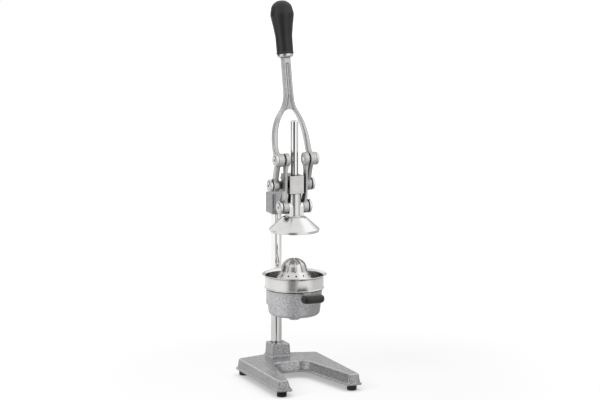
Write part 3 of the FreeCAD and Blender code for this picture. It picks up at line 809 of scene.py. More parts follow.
def slab(outline: Sequence[Pair], half: float, edge: float) -> Mesh:
    """A plate across the press with a side view of its own.

    Args:
        outline: Y and Z of each corner.
        half: Half its width.
        edge: The radius of its edges.

    Returns:
        The mesh.
    """
    bm = bmesh.new()
    chain(bm, [Vector((-half, y, z)) for y, z in outline])
    return eased(plate(bm, 2.0 * half), bm.edges[:], edge)


def held(bm: Mesh, name: str) -> bpy.types.Object:
    """Make a mesh an object of the scene.

    Args:
        bm: The mesh; it is freed.
        name: The object's name.

    Returns:
        The object.
    """
    mesh = bpy.data.meshes.new(name)
    bm.to_mesh(mesh)
    bm.free()
    item = bpy.data.objects.new(name, mesh)
    bpy.context.scene.collection.objects.link(item)
    return item


def worked(bm: Mesh, modifiers: dict[str, dict]) -> Mesh:
    """Run modifiers over a mesh and take the result.

    Args:
        bm: The mesh; it is freed.
        modifiers: Modifier types with their settings.

    Returns:
        The new mesh.
    """
    holder = held(bm, "work")
    for kind, settings in modifiers.items():
        modifier = holder.modifiers.new(kind.lower(), kind)
        for key, value in settings.items():
            setattr(modifier, key, value)
    result = bmesh.new()
    result.from_object(holder, bpy.context.evaluated_depsgraph_get())
    bpy.data.meshes.remove(holder.data)
    return result


def cast(bm: Mesh, voxel: float, rounds: int) -> Mesh:
    """Melt overlapping closed forms into one casting with soft fillets.

    Args:
        bm: The forms.
        voxel: The grain of the new skin.
        rounds: Smoothing rounds.

    Returns:
        The casting.
    """
    return worked(bm, {"REMESH": {"mode": "VOXEL", "voxel_size": voxel, "adaptivity": 0.0},
                       "SMOOTH": {"factor": 0.5, "iterations": rounds}})


def drilled(bm: Mesh, holes: Iterable[tuple[Vector, Vector, float, float]],
            steps: int = 64) -> Mesh:
    """Drill round holes into a mesh.

    Args:
        bm: The mesh to cut; it is freed.
        holes: Start, direction, radius and length of each hole.
        steps: Sides of each hole.

    Returns:
        The cut mesh.
    """
    pegs = bmesh.new()
    for start, direction, radius, length in holes:
        made = bmesh.ops.create_cone(pegs, cap_ends=True, segments=steps, radius1=radius,
                                     radius2=radius, depth=length)
        middle = start + direction.normalized() * (length / 2.0)
        bmesh.ops.transform(pegs, matrix=facing(direction, middle), verts=made["verts"])
    tool = held(pegs, "drill")
    result = worked(bm, {"BOOLEAN": {"operation": "DIFFERENCE", "object": tool,
                                     "solver": "EXACT"}})
    bpy.data.meshes.remove(tool.data)
    return result


@dataclass(frozen=True)
class CapScrew:
    """The sizes of a cap screw with a drive hole in its head."""

    head_radius: float
    head: float
    radius: float
    shank: float
    drive: float

    def driven(self, direction: Vector, *places: Sequence[float]) -> Mesh:
        """Set screws in place.

        Args:
            direction: Where their heads look.
            places: The middle of each head's top.

        Returns:
            The screws in one mesh.
        """
        end = -self.head - self.shank
        screws = bmesh.new()
        for place in places:
            screw = turned([(0.0, -0.6 * self.head, 0.0), (self.drive, -0.5 * self.head, 0.0),
                            (self.drive, 0.0, 0.15),
                            (self.head_radius, 0.0, min(0.6, self.head * 0.2)),
                            (self.head_radius, -self.head, 0.1), (self.radius, -self.head, 0.0),
                            (self.radius, end, 0.3), (0.0, end, 0.0)], 48)
            add(screws, screw, facing(direction, place))
        return screws


CUP_AXIS = Vector((0.0, 9.1, 0.0))
ON_CUP_AXIS = Matrix.Translation(CUP_AXIS)
COLUMN_AXIS = Vector((0.0, 106.5, 0.0))
ON_COLUMN = Matrix.Translation(COLUMN_AXIS)
COLUMN_HOLE = 11.22
PIVOT = (26.9, 402.6)
CRANK = (0.97, 457.704)
LINK_PIN = (9.1, 359.741)
PIN_HOLE = 5.0
LEVER_HOLE = 5.06
CLAMP_SCREW = CapScrew(6.4, 4.4, 4.0, 4.0, 3.0)

# One hammer paint in two copies, partly painted light: darker for the base and lighter for the
# cup, to paint how each is lit. The base's seat band is its rounded top rim, lightened as wear
# and painted highlight.
SHADED_BASE_PAINT = HammeredPaint("hammered_paint", "base", light=0.60, dark=0.12, dimples=340.0,
                           contrast=0.9, depth=0.5, metallic=0.5, roughness=0.24, wear_and_highlight_level=0.7,
                           seat=(32.6, 34.9))
LIT_CUP_PAINT = HammeredPaint("hammered_paint", "cup", light=0.86, dark=0.19, dimples=420.0,
                          contrast=0.7, metallic=0.38)
# Its reach of 26 mm spreads painted shade over the bracket, darkest under the mechanism.
BRACKET_PAINT = HammeredPaint("bracket_paint", "bracket", light=0.45, dark=0.27, dimples=700.0,
                              contrast=1.5, depth=0.15, metallic=0.3, roughness=0.44, reach=26.0)
CHROME = Chrome("chrome")
SATIN = SatinCasting("cast_satin")
GRIP_PLASTIC = MouldedPlastic("black_plastic", dust=0.008, coat=0.05)
TAB_PLASTIC = MouldedPlastic("handle_plastic", roughness=0.36)
RUBBER = MouldedPlastic("foot_rubber", level=0.012, dust=0.012, roughness=0.62, coat=0.0)
SHEET = BrushedMetal("brushed_steel")
# A darker copy of the brushed steel: painted shade on the strap under the bowl.
SHADED_STRAP_SHEET = BrushedMetal("brushed_steel", "strap", light=0.40, dark=0.26)
# Its reach of 30 mm paints shade deep over the block's sides beside the links.
GUIDE_STEEL = TurnedMetal("machined_steel", "guide", (0.0, 60.0, 406.0), "YZ", 0.86, 0.50, 0.03,
                          0.30, 900.0, 0.05, 30.0)
BRONZE = TurnedMetal("bronze", "bush", (0.0, 9.1, 0.0), "XY", 0.55, 0.36, 0.55, 0.25)
POLISH = TurnedMetal("polished_aluminium", "cone", (0.0, 9.1, 0.0), "XY", 0.84, 0.70, 0.01,
                     0.12, 1700.0, 0.012)
REAMER_METAL = TurnedMetal("reamer_metal", "reamer", (0.0, 9.1, 0.0), "XY", 0.82, 0.64, 0.03,
                           0.2, 1500.0, 0.02)
COLLAR_STEEL = TurnedMetal("bright_steel", "collar", (0.0, 57.0, 661.0), "XY", 0.84, 0.66, 0.02,
                           0.2)


def steel(name: str, across: str, x: float, y: float, z: float) -> TurnedMetal:
    """Bright steel turned about an axis through a point, square to two named axes."""
    return TurnedMetal("bright_steel", name, (x, y, z), across)


# The press, from the table up


@dataclass
class Assembly:
    """A sub-assembly that makes pieces and hangs them on a body."""

    body: Body = Body.FRAME

    def fit(self, name: str, node: str, finish: Finish, bm: Mesh, place: Matrix | None = None,
            weighted: bool = True) -> None:
        """Finish a piece: scale it to metres, dress it and hang it on the body.

        Args:
            name: The piece's name.
            node: The node of the frame that it replaces.
            finish: Its finish.
            bm: Its mesh in millimetres; it is freed.
            place: Where the mesh still has to go.
            weighted: Whether large faces lead the shading.
        """
        if place is not None:
            laid(bm, place)
        bmesh.ops.scale(bm, vec=(MM, MM, MM), verts=bm.verts)
        piece = held(bm, name)
        piece.data.shade_smooth()
        piece.data.set_sharp_from_angle(angle=SHARP)
        piece.data.materials.append(finish.material())
        if weighted:
            piece.modifiers.new("shading", "WEIGHTED_NORMAL").keep_sharp = True
        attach(piece, self.body.value)
        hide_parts(node)
        log.info("%s on %s: %d faces", name, self.body.value, len(piece.data.polygons))


@dataclass
class Base(Assembly):
    """Forked cast base with its socket block, rubber feet and screws."""

    half_width: float = 92.0
    half_depth: float = 126.5
    bottom: float = 12.0
    top: float = 35.0
    lip: float = 2.0
    wall: float = 5.0
    draft: float = 2.6
    end_draft: float = 3.0
    root_draft: float = 5.0
    tip_width: float = 20.0
    tip_flare: float = 6.4
    root_gap: float = 37.0
    web_depth: float = 92.0
    chevron: float = 22.0
    chevron_radius: float = 60.0
    leg_radii: tuple[float, ...] = (7.0, 4.0, 4.0, 24.0)
    rim_radius: float = 2.6
    socket_half: float = 20.5
    socket_front: float = 76.5
    socket_back: float = 121.0
    socket_top: float = 62.0
    socket_taper: float = 1.4
    socket_corner: float = 4.0
    boss_top: float = 31.0
    foot_radius: float = 10.0
    foot_x: float = 76.0
    foot_ends: tuple[tuple[str, float], ...] = (("front", -110.5), ("rear", 96.5))

    def feet(self) -> dict[str, Pair]:
        """Where each foot stands."""
        return {f"{end}_{side.word}": (self.foot_x * side.value, y)
                for end, y in self.foot_ends for side in Side}

    def outline(self, bm: Mesh, share: float, inset: float, z: float) -> Edges:
        """The base's plan at a height.

        Args:
            bm: The mesh that takes it.
            share: Share of the casting's height.
            inset: How far it is drawn in.
            z: The height.

        Returns:
            The ring's edges.
        """
        side = self.half_width - self.lip - self.draft * share - inset
        front = -self.half_depth + self.lip + self.end_draft * share + inset
        flare = self.tip_flare * (1.0 - share)
        tip = self.half_width - self.lip - self.draft - self.tip_width - flare + inset
        root = self.root_gap - self.root_draft * (1.0 - share) + inset
        rear = self.half_depth - self.lip - self.end_draft * share - inset
        corner = rear - self.chevron
        rear += self.chevron_radius * (1.0 / math.cos(math.atan(self.chevron / side)) - 1.0)
        web = self.half_depth - self.web_depth - self.root_draft * (1.0 - share) + inset
        right = [(side, corner), (side, front), (tip, front), (root, web)]
        points = [(0.0, rear)] + right + [(-x, y) for x, y in reversed(right)]
        return ring(bm, [Vector((x, y, z)) for x, y in points],
                    (self.chevron_radius, *self.leg_radii, *self.leg_radii[::-1]), 10)

    def socket(self) -> Mesh:
        """The block that holds the column, grown into a fillet at its foot.

        Returns:
            The mesh.
        """
        bm = bmesh.new()
        rings = []
        for grow, z in ((3.6, 34.6), (2.2, 35.5), (1.0, 36.6), (0.25, 38.2), (0.0, 40.0),
                        (0.0, 59.4), (-0.3, 60.8), (-1.1, 61.7), (-2.4, 62.0)):
            taper = self.socket_taper * (z - self.top) / (self.socket_top - self.top)
            shrink = min(grow, 0.0)
            rings.append(oblong(bm, self.socket_half - taper + grow,
                                self.socket_front + taper - grow,
                                self.socket_back - taper + shrink, z,
                                [self.socket_corner + shrink] * 4, 6))
        return skin(bm, rings)

    def shell(self) -> Mesh:
        """The hollow casting with its lip, rounded rim, socket block and foot bosses.

        Returns:
            The mesh.
        """
        bm = bmesh.new()
        levels = [(0.0, 5.0, self.bottom), (0.0, -1.4, self.bottom), (0.0, -2.0, 12.6),
                  (0.0, -2.0, 15.2), (0.0, -1.6, 15.8), (0.0, -0.6, 16.2), (0.2, 0.0, 17.2),
                  (0.87, 0.0, self.top - self.rim_radius)]
        for step in range(1, 6):
            turn = step * math.pi / 10.0
            levels.append((0.9 + 0.1 * step / 5.0, self.rim_radius * (1.0 - math.cos(turn)),
                           self.top - self.rim_radius * (1.0 - math.sin(turn))))
        outer = [self.outline(bm, *level) for level in levels]
        hollow = [self.outline(bm, 1.0, self.wall + 1.5, self.top - self.wall),
                  self.outline(bm, 0.9, self.wall, self.top - self.wall - 1.5)]
        skin(bm, hollow + outer)
        add(bm, self.socket())
        for x, y in self.feet().values():
            boss = collar((2.0, 7.5), (self.bottom, self.boss_top), (0.5, 0.0), 48)
            add(bm, boss, Matrix.Translation((x, y, 0.0)))
        pad = turned([(9.0, 14.0, 0.5), (16.5, 14.0, 0.8), (16.5, self.boss_top, 0.0),
                      (9.0, self.boss_top, 0.0)], 64)
        return add(bm, pad, ON_COLUMN)

    def build(self) -> None:
        """Make the base, its feet and their screws."""
        self.fit("base_shell", "base_casting", SHADED_BASE_PAINT, self.shell())
        outer = self.foot_radius
        for place, (x, y) in self.feet().items():
            foot = turned([(2.0, 5.5, 0.0), (4.3, 5.5, 0.0), (4.3, 0.0, 0.4), (8.8, 0.0, 0.2),
                           (outer, 1.3, 0.6), (9.7, 4.6, 0.3), (outer, 5.0, 0.3),
                           (outer, 11.9, 0.5), (2.0, 11.9, 0.0)], 64)
            self.fit(f"rubber_foot_{place}", f"foot_{place}", RUBBER, foot,
                     Matrix.Translation((x, y, 0.0)))
        screws = CapScrew(4.0, 3.0, 2.0, 17.0, 1.4)
        self.fit("foot_cap_screws", "foot_screws", steel("foot", "XY", 76.0, 96.5, 0.0),
                 screws.driven(-UP, *((x, y, 2.5) for x, y in self.feet().values())))


@dataclass
class Column(Assembly):
    """Chrome column and the hexagon bolt that holds it."""

    radius: float = 11.2
    bottom: float = 20.0
    top: float = 371.0
    bore: float = 5.0
    bore_end: float = 46.0

    def build(self) -> None:
        """Make the column and its bolt."""
        bar = turned([(self.bore, self.bottom, 0.0), (self.radius, self.bottom, 0.8),
                      (self.radius, self.top, 0.8), (0.0, self.top, 0.0),
                      (0.0, self.bore_end, 0.0), (self.bore, self.bore_end, 0.0)], 128)
        self.fit("chrome_column", "column_bar", CHROME, bar, ON_COLUMN)
        bolt = collar((0.0, self.bore), (14.0, self.bore_end - 0.4), (0.0, 0.6), 48)
        add(bolt, collar((0.0, 9.8), (9.0, 14.0), (0.6, 0.3), 6))
        self.fit("column_hex_bolt", "column_bolt", steel("column", "XY", 0.0, 106.5, 0.0), bolt,
                 ON_COLUMN)


@dataclass
class Cup(Assembly):
    """Cast juice cup with spout and clamp, and the clamp's two screws."""

    top: float = 192.0
    bottom: float = 138.4
    top_radius: float = 57.5
    bottom_radius: float = 51.6
    wall: float = 4.0
    spout_radius: float = 11.5
    spout_bottom: float = 127.9
    bore: float = 8.0
    clamp: Pair = (141.0, 190.0)
    clamp_radius: float = 21.0
    screw_heights: Pair = (152.5, 178.5)

    def build(self) -> None:
        """Make the cup and its screws."""
        form = laid(turned([
            (self.bore, self.spout_bottom, 0.6), (self.spout_radius, self.spout_bottom, 1.2),
            (self.spout_radius, self.bottom - 1.0, 2.0), (self.bottom_radius, self.bottom, 9.0),
            (self.top_radius, self.top, 0.8), (self.top_radius - self.wall, self.top, 0.8),
            (self.bottom_radius - self.wall + 0.4, self.bottom + self.wall, 7.0),
            (self.bore, self.bottom + 1.5, 2.0)], 128, 8), ON_CUP_AXIS)
        add(form, collar((0.0, self.clamp_radius), self.clamp, (2.5, 2.5), 96), ON_COLUMN)
        add(form, block((34.0, 42.0, 49.0), (0.0, 84.5, 165.5), 2.5))
        holes = [(COLUMN_AXIS + UP * 100.0, UP, COLUMN_HOLE, 120.0)]
        holes += [(Vector((0.0, 122.2, z)), BACK, 6.7, 20.0) for z in self.screw_heights]
        self.fit("cup_body", "cup_casting", LIT_CUP_PAINT, drilled(cast(form, 1.05, 5), holes),
                 weighted=False)
        screws = CLAMP_SCREW.driven(BACK, *((0.0, 126.4, z) for z in self.screw_heights))
        self.fit("cup_cap_screws", "cup_clamp_screws", steel("cup_screw", "XZ", 0.0, 0.0, 165.5),
                 screws)


@dataclass
class Bracket(Assembly):
    """Cast bracket on the column with its screws, the guide block and the bush."""

    half_width: float = 18.0
    front: float = 85.5
    back: float = 121.5
    bottom: float = 333.0
    top: float = 376.0
    neck: tuple[Pair, ...] = ((87.5, 337.0), (38.0, 388.0), (42.5, 408.6), (87.5, 376.0))
    head_front: float = 20.5
    head_back: float = 44.0
    guide_half: float = 15.5
    guide_front: float = -5.5
    guide: Pair = (388.0, 424.5)
    boss_reach: float = 28.2
    screw_heights: Pair = (342.5, 366.5)

    def casting(self) -> Mesh:
        """Clamp block, rising neck, guide head and pivot bosses melted together.

        Returns:
            The mesh.
        """
        low, high = self.guide
        bm = block((2 * self.half_width, self.back - self.front, self.top - self.bottom),
                   (0.0, (self.front + self.back) / 2, (self.bottom + self.top) / 2), 2.2)
        depth = self.head_back - self.head_front
        add(bm, block((2 * self.guide_half, depth, high - low),
                      (0.0, self.head_front + depth / 2, (low + high) / 2), 0.6))
        add(bm, slab(self.neck, 12.5, 1.0))
        pivot = Vector((0.0, *PIVOT))
        add(bm, collar((0.0, 8.5), (-self.boss_reach, self.boss_reach), (0.8, 0.8), 64),
            facing(RIGHT, pivot))
        holes = [(COLUMN_AXIS + UP * 300.0, UP, COLUMN_HOLE, 71.0)]
        holes += [(pivot + side * 6.5, side, PIN_HOLE, 30.0) for side in (RIGHT, -RIGHT)]
        return drilled(cast(bm, 0.8, 3), holes)

    def guide_body(self) -> Mesh:
        """The machined block in front of the bracket head, bored for the bush.

        Returns:
            The mesh.
        """
        low, high = self.guide
        bm = bmesh.new()
        rows = [oblong(bm, self.guide_half - inset, self.guide_front + inset, self.head_front, z,
                       (0.3, 1.2, 1.2, 0.3), 15)
                for z, inset in ((low, 0.5), (low + 0.15, 0.15), (low + 0.5, 0.0),
                                 (high - 0.5, 0.0), (high - 0.15, 0.15), (high, 0.5))]
        for radius, z in ((9.9, high), (9.55, high - 0.35), (9.55, low + 0.35), (9.9, low)):
            before = set(bm.edges)
            made = bmesh.ops.create_circle(bm, cap_ends=False, segments=64, radius=radius)
            bmesh.ops.translate(bm, vec=CUP_AXIS + UP * z, verts=made["verts"])
            rows.append([edge for edge in bm.edges if edge not in before])
        return skin(bm, rows + rows[:1], caps=False)

    def build(self) -> None:
        """Make the bracket, its screws, the guide block and its bush."""
        self.fit("bracket_body", "bracket_casting", BRACKET_PAINT, self.casting(),
                 weighted=False)
        self.fit("guide_body", "guide_block", GUIDE_STEEL, self.guide_body())
        low, high = self.guide[0] + 0.05, self.guide[1] - 0.05
        bush = turned([(8.06, low, 0.3), (9.54, low, 0.1), (9.54, high, 0.1), (8.06, high, 0.3)],
                      128)
        self.fit("bronze_bush", "guide_bush", BRONZE, bush, ON_CUP_AXIS)
        metal = steel("bracket_screw", "XZ", 0.0, 0.0, 354.5)
        self.fit("bracket_cap_screws", "bracket_screws", metal,
                 CLAMP_SCREW.driven(BACK, *((0.0, 125.9, z) for z in self.screw_heights)))
        self.fit("guide_cap_screws", "guide_screws", metal, CapScrew(
            4.0, 4.0, 2.5, 29.5, 1.6).driven(BACK, (-11.5, 48.0, 414.5), (11.5, 48.0, 414.5)))


def across(side: Side, place: Pair) -> Matrix:
    """A matrix that lays +Z outwards along X at a pivot."""
    return facing(RIGHT * side.value, (0.0, *place))


@dataclass(frozen=True)
class RoundBolt:
    """The sizes of a round-headed bolt along +Z, and of the ring that lies round it."""

    name: str
    place: Pair
    inner: float
    seat: float
    ring: Pair
    head_radius: float = 13.0
    head_height: float = 6.0
    shank: float = 5.0
    ring_radius: float = 10.0

    def metal(self) -> TurnedMetal:
        """Steel turned about the bolt's place across the press."""
        return steel(self.name, "YZ", 0.0, *self.place)

    def bolt(self) -> Mesh:
        """The bolt, with a domed, grooved head and a small drive hole.

        Returns:
            The mesh.
        """
        face = self.seat + self.head_height
        radius = self.head_radius
        return turned([
            (0.0, self.inner, 0.0), (self.shank, self.inner, 0.5), (self.shank, self.seat, 0.0),
            (radius, self.seat, 0.5), (radius, face - 2.2, 0.8), (radius - 2.0, face - 0.5, 1.0),
            (radius - 4.2, face - 0.15, 0.3), (radius - 4.8, face - 0.75, 0.2),
            (radius - 5.4, face - 0.05, 0.3), (3.3, face, 0.3), (2.8, face - 0.5, 0.2),
            (2.6, face - 3.0, 0.0), (0.0, face - 3.6, 0.0)], 72)

    def washer(self) -> Mesh:
        """The ring, flat with eased edges.

        Returns:
            The mesh.
        """
        low, high = self.ring
        edge = min(0.4, (high - low) / 4.0)
        return collar((self.shank, self.ring_radius), self.ring, (edge, edge), 72)


PIVOT_BOLT = RoundBolt("pivot_bolt", PIVOT, 6.5, 43.8, (41.8, 43.8))
CRANK_BOLT = RoundBolt("crank_bolt", CRANK, 16.0, 41.5, (25.3, 28.5), ring_radius=9.0)
LINK_BOLT = RoundBolt("link_bolt", LINK_PIN, 16.0, 29.5, (27.5, 29.5), head_radius=14.0)


@dataclass
class Pivots(Assembly):
    """The bolts at the fixed pivots and the cranks, with their washers and spacers."""

    def build(self) -> None:
        """Make the bolts of both sides, then the rings."""
        rows = ((PIVOT_BOLT, Body.FRAME, "pivot_flat_washers", "pivot_washers"),
                (CRANK_BOLT, Body.LEVER, "crank_rings", "crank_spacers"))
        for side in Side:
            for bolt, body, _, _ in rows:
                self.body = body
                self.fit(f"{bolt.name}_head_{side.word}", f"{bolt.name}_{side.word}",
                         bolt.metal(), bolt.bolt(), across(side, bolt.place))
        for bolt, body, name, node in rows:
            self.body = body
            rings = bmesh.new()
            for side in Side:
                add(rings, bolt.washer(), across(side, bolt.place))
            self.fit(name, node, bolt.metal(), rings)


@dataclass
class Links(Assembly):
    """Two cast links with round eyes, with the bolts and washers at their lower ends."""

    inner: float = 16.0
    outer: float = 25.0
    boss: float = 27.5
    eye: float = 13.5
    relief: float = 3.6
    corner: float = 1.8

    def casting(self) -> Mesh:
        """The right-hand link: a waisted bar between two eyes.

        Returns:
            The mesh.
        """
        bm = bmesh.new()
        high = Vector((0.0, *CRANK))
        low = Vector((0.0, *LINK_PIN))
        deep = (low - high).normalized().cross(RIGHT)
        rows = []
        for share, front, rear, ease in ((0.0, 8.5, 8.5, 0.5), (0.14, 8.3, 8.3, 0.5),
                                         (0.26, 7.8, 8.2, 0.9), (0.42, 7.8, 9.2, 1.1),
                                         (0.58, 8.0, 10.2, 1.1), (0.74, 8.2, 10.8, 0.9),
                                         (0.86, 8.5, 9.8, 0.5), (1.0, 8.5, 8.5, 0.5)):
            middle = high.lerp(low, share)
            left = self.inner + self.relief * min(4.0 * share, 4.0 * (1.0 - share), 1.0)
            right = self.outer - ease * 0.6
            plan = ((left, rear), (right, rear), (right, -front), (left, -front))
            rows.append(ring(bm, [middle + RIGHT * x + deep * y for x, y in plan],
                             [self.corner] * 4, 4))
        skin(bm, rows)
        for place, reach in ((CRANK, self.outer), (LINK_PIN, self.boss)):
            add(bm, collar((0.0, self.eye), (self.inner, reach), (0.8, 0.9), 72),
                across(Side.RIGHT, place))
        return drilled(cast(bm, 0.7, 4), [(Vector((10.0, *CRANK)), RIGHT, LEVER_HOLE, 25.0),
                                          (Vector((10.0, *LINK_PIN)), RIGHT, PIN_HOLE, 25.0)])

    def build(self) -> None:
        """Make both links and the hardware that rides on them."""
        for side in Side:
            self.body = Body(f"link_{side.word}")
            bar = self.casting()
            self.fit(f"link_bar_{side.word}", f"link_{side.word}", SATIN,
                     bar if side is Side.RIGHT else flipped(bar), weighted=False)
            for name, node, bm in (("bolt_head", "bolt", LINK_BOLT.bolt()),
                                   ("flat_washer", "washer", LINK_BOLT.washer())):
                self.fit(f"link_{name}_{side.word}", f"link_{node}_{side.word}",
                         LINK_BOLT.metal(), bm, across(side, LINK_PIN))


@dataclass
class PressHead(Assembly):
    """Polished press cone and hub, the chrome rod and the screw that joins them."""

    body: Body = Body.PRESS_HEAD
    rim: float = 309.54
    rim_top: float = 315.0
    rim_radius: float = 51.2
    wall: float = 7.0
    shoulder: float = 340.04
    shoulder_radius: float = 23.5
    roof: float = 335.04
    roof_radius: float = 21.6
    screw_radius: float = 4.0
    hub_foot: float = 18.0
    neck_radius: float = 14.5
    neck_top: float = 387.7
    lug_half: float = 15.7
    lug_radius: float = 12.5
    rod_radius: float = 8.0
    rod_bottom: float = 353.04
    rod_top: float = 535.04

    def cone(self) -> Mesh:
        """The hollow cone with its upright rim.

        Returns:
            The mesh.
        """
        inner = self.rim_radius - self.wall
        return turned([
            (self.rim_radius, self.rim, 0.8), (self.rim_radius, self.rim_top, 0.6),
            (self.shoulder_radius, self.shoulder, 1.2), (self.screw_radius, self.shoulder, 0.0),
            (self.screw_radius, self.roof, 0.0), (self.roof_radius, self.roof, 2.0),
            (inner, self.rim_top, 0.6), (inner + self.wall / 2, self.rim, 0.5)], 128)

    def hub(self) -> Mesh:
        """The tube round the rod with the lug that carries the links.

        Returns:
            The mesh.
        """
        bore = self.rod_radius + 0.02
        hub = turned([(self.screw_radius, self.shoulder, 0.0),
                      (self.hub_foot, self.shoulder, 0.3),
                      (self.neck_radius, self.shoulder + 2.0, 1.0),
                      (self.neck_radius, self.neck_top, 0.9), (bore, self.neck_top, 0.3),
                      (bore, self.rod_bottom, 0.0), (self.screw_radius, self.rod_bottom, 0.0)],
                     128)
        lug = bmesh.new()
        foot, head = self.shoulder + 0.05, LINK_PIN[1] + self.lug_radius
        plan = ((-self.lug_radius, foot), (-self.lug_radius, head), (self.lug_radius, head),
                (self.lug_radius, foot))
        ring(lug, [Vector((-self.lug_half, y, z)) for y, z in plan],
             [0.4, self.lug_radius - 0.1, self.lug_radius - 0.1, 0.4], 12)
        plate(lug, 2 * self.lug_half)
        rims = [edge for edge in lug.edges if edge.calc_face_angle(0.0) > 1.2]
        return add(hub, eased(lug, rims, 0.7))

    def rod(self) -> Mesh:
        """The rod with its eased top and the blind hole for the screw.

        Returns:
            The mesh.
        """
        screw_end = self.rod_bottom + 20.0
        return turned([(0.0, screw_end, 0.0), (self.screw_radius, screw_end, 0.0),
                       (self.screw_radius, self.rod_bottom, 0.0),
                       (self.rod_radius, self.rod_bottom, 0.0),
                       (self.rod_radius, self.rod_top - 1.0, 0.4),
                       (self.rod_radius - 1.0, self.rod_top, 0.5), (0.0, self.rod_top, 0.0)], 96)

    def build(self) -> None:
        """Make the cone, the hub, the rod and the screw."""
        self.fit("polished_cone", "press_cone", POLISH, self.cone(), ON_CUP_AXIS)
        self.fit("polished_hub", "cone_hub", POLISH, self.hub(), ON_CUP_AXIS)
        self.fit("chrome_rod", "press_rod", CHROME, self.rod(), ON_CUP_AXIS)
        screw = CapScrew(6.5, 4.0, self.screw_radius, 38.0, 3.0)
        self.fit("rod_cap_screw", "rod_screw", steel("rod_screw", "XY", 0.0, 9.1, 0.0),
                 screw.driven(-UP, CUP_AXIS + UP * (self.roof - 4.0)))


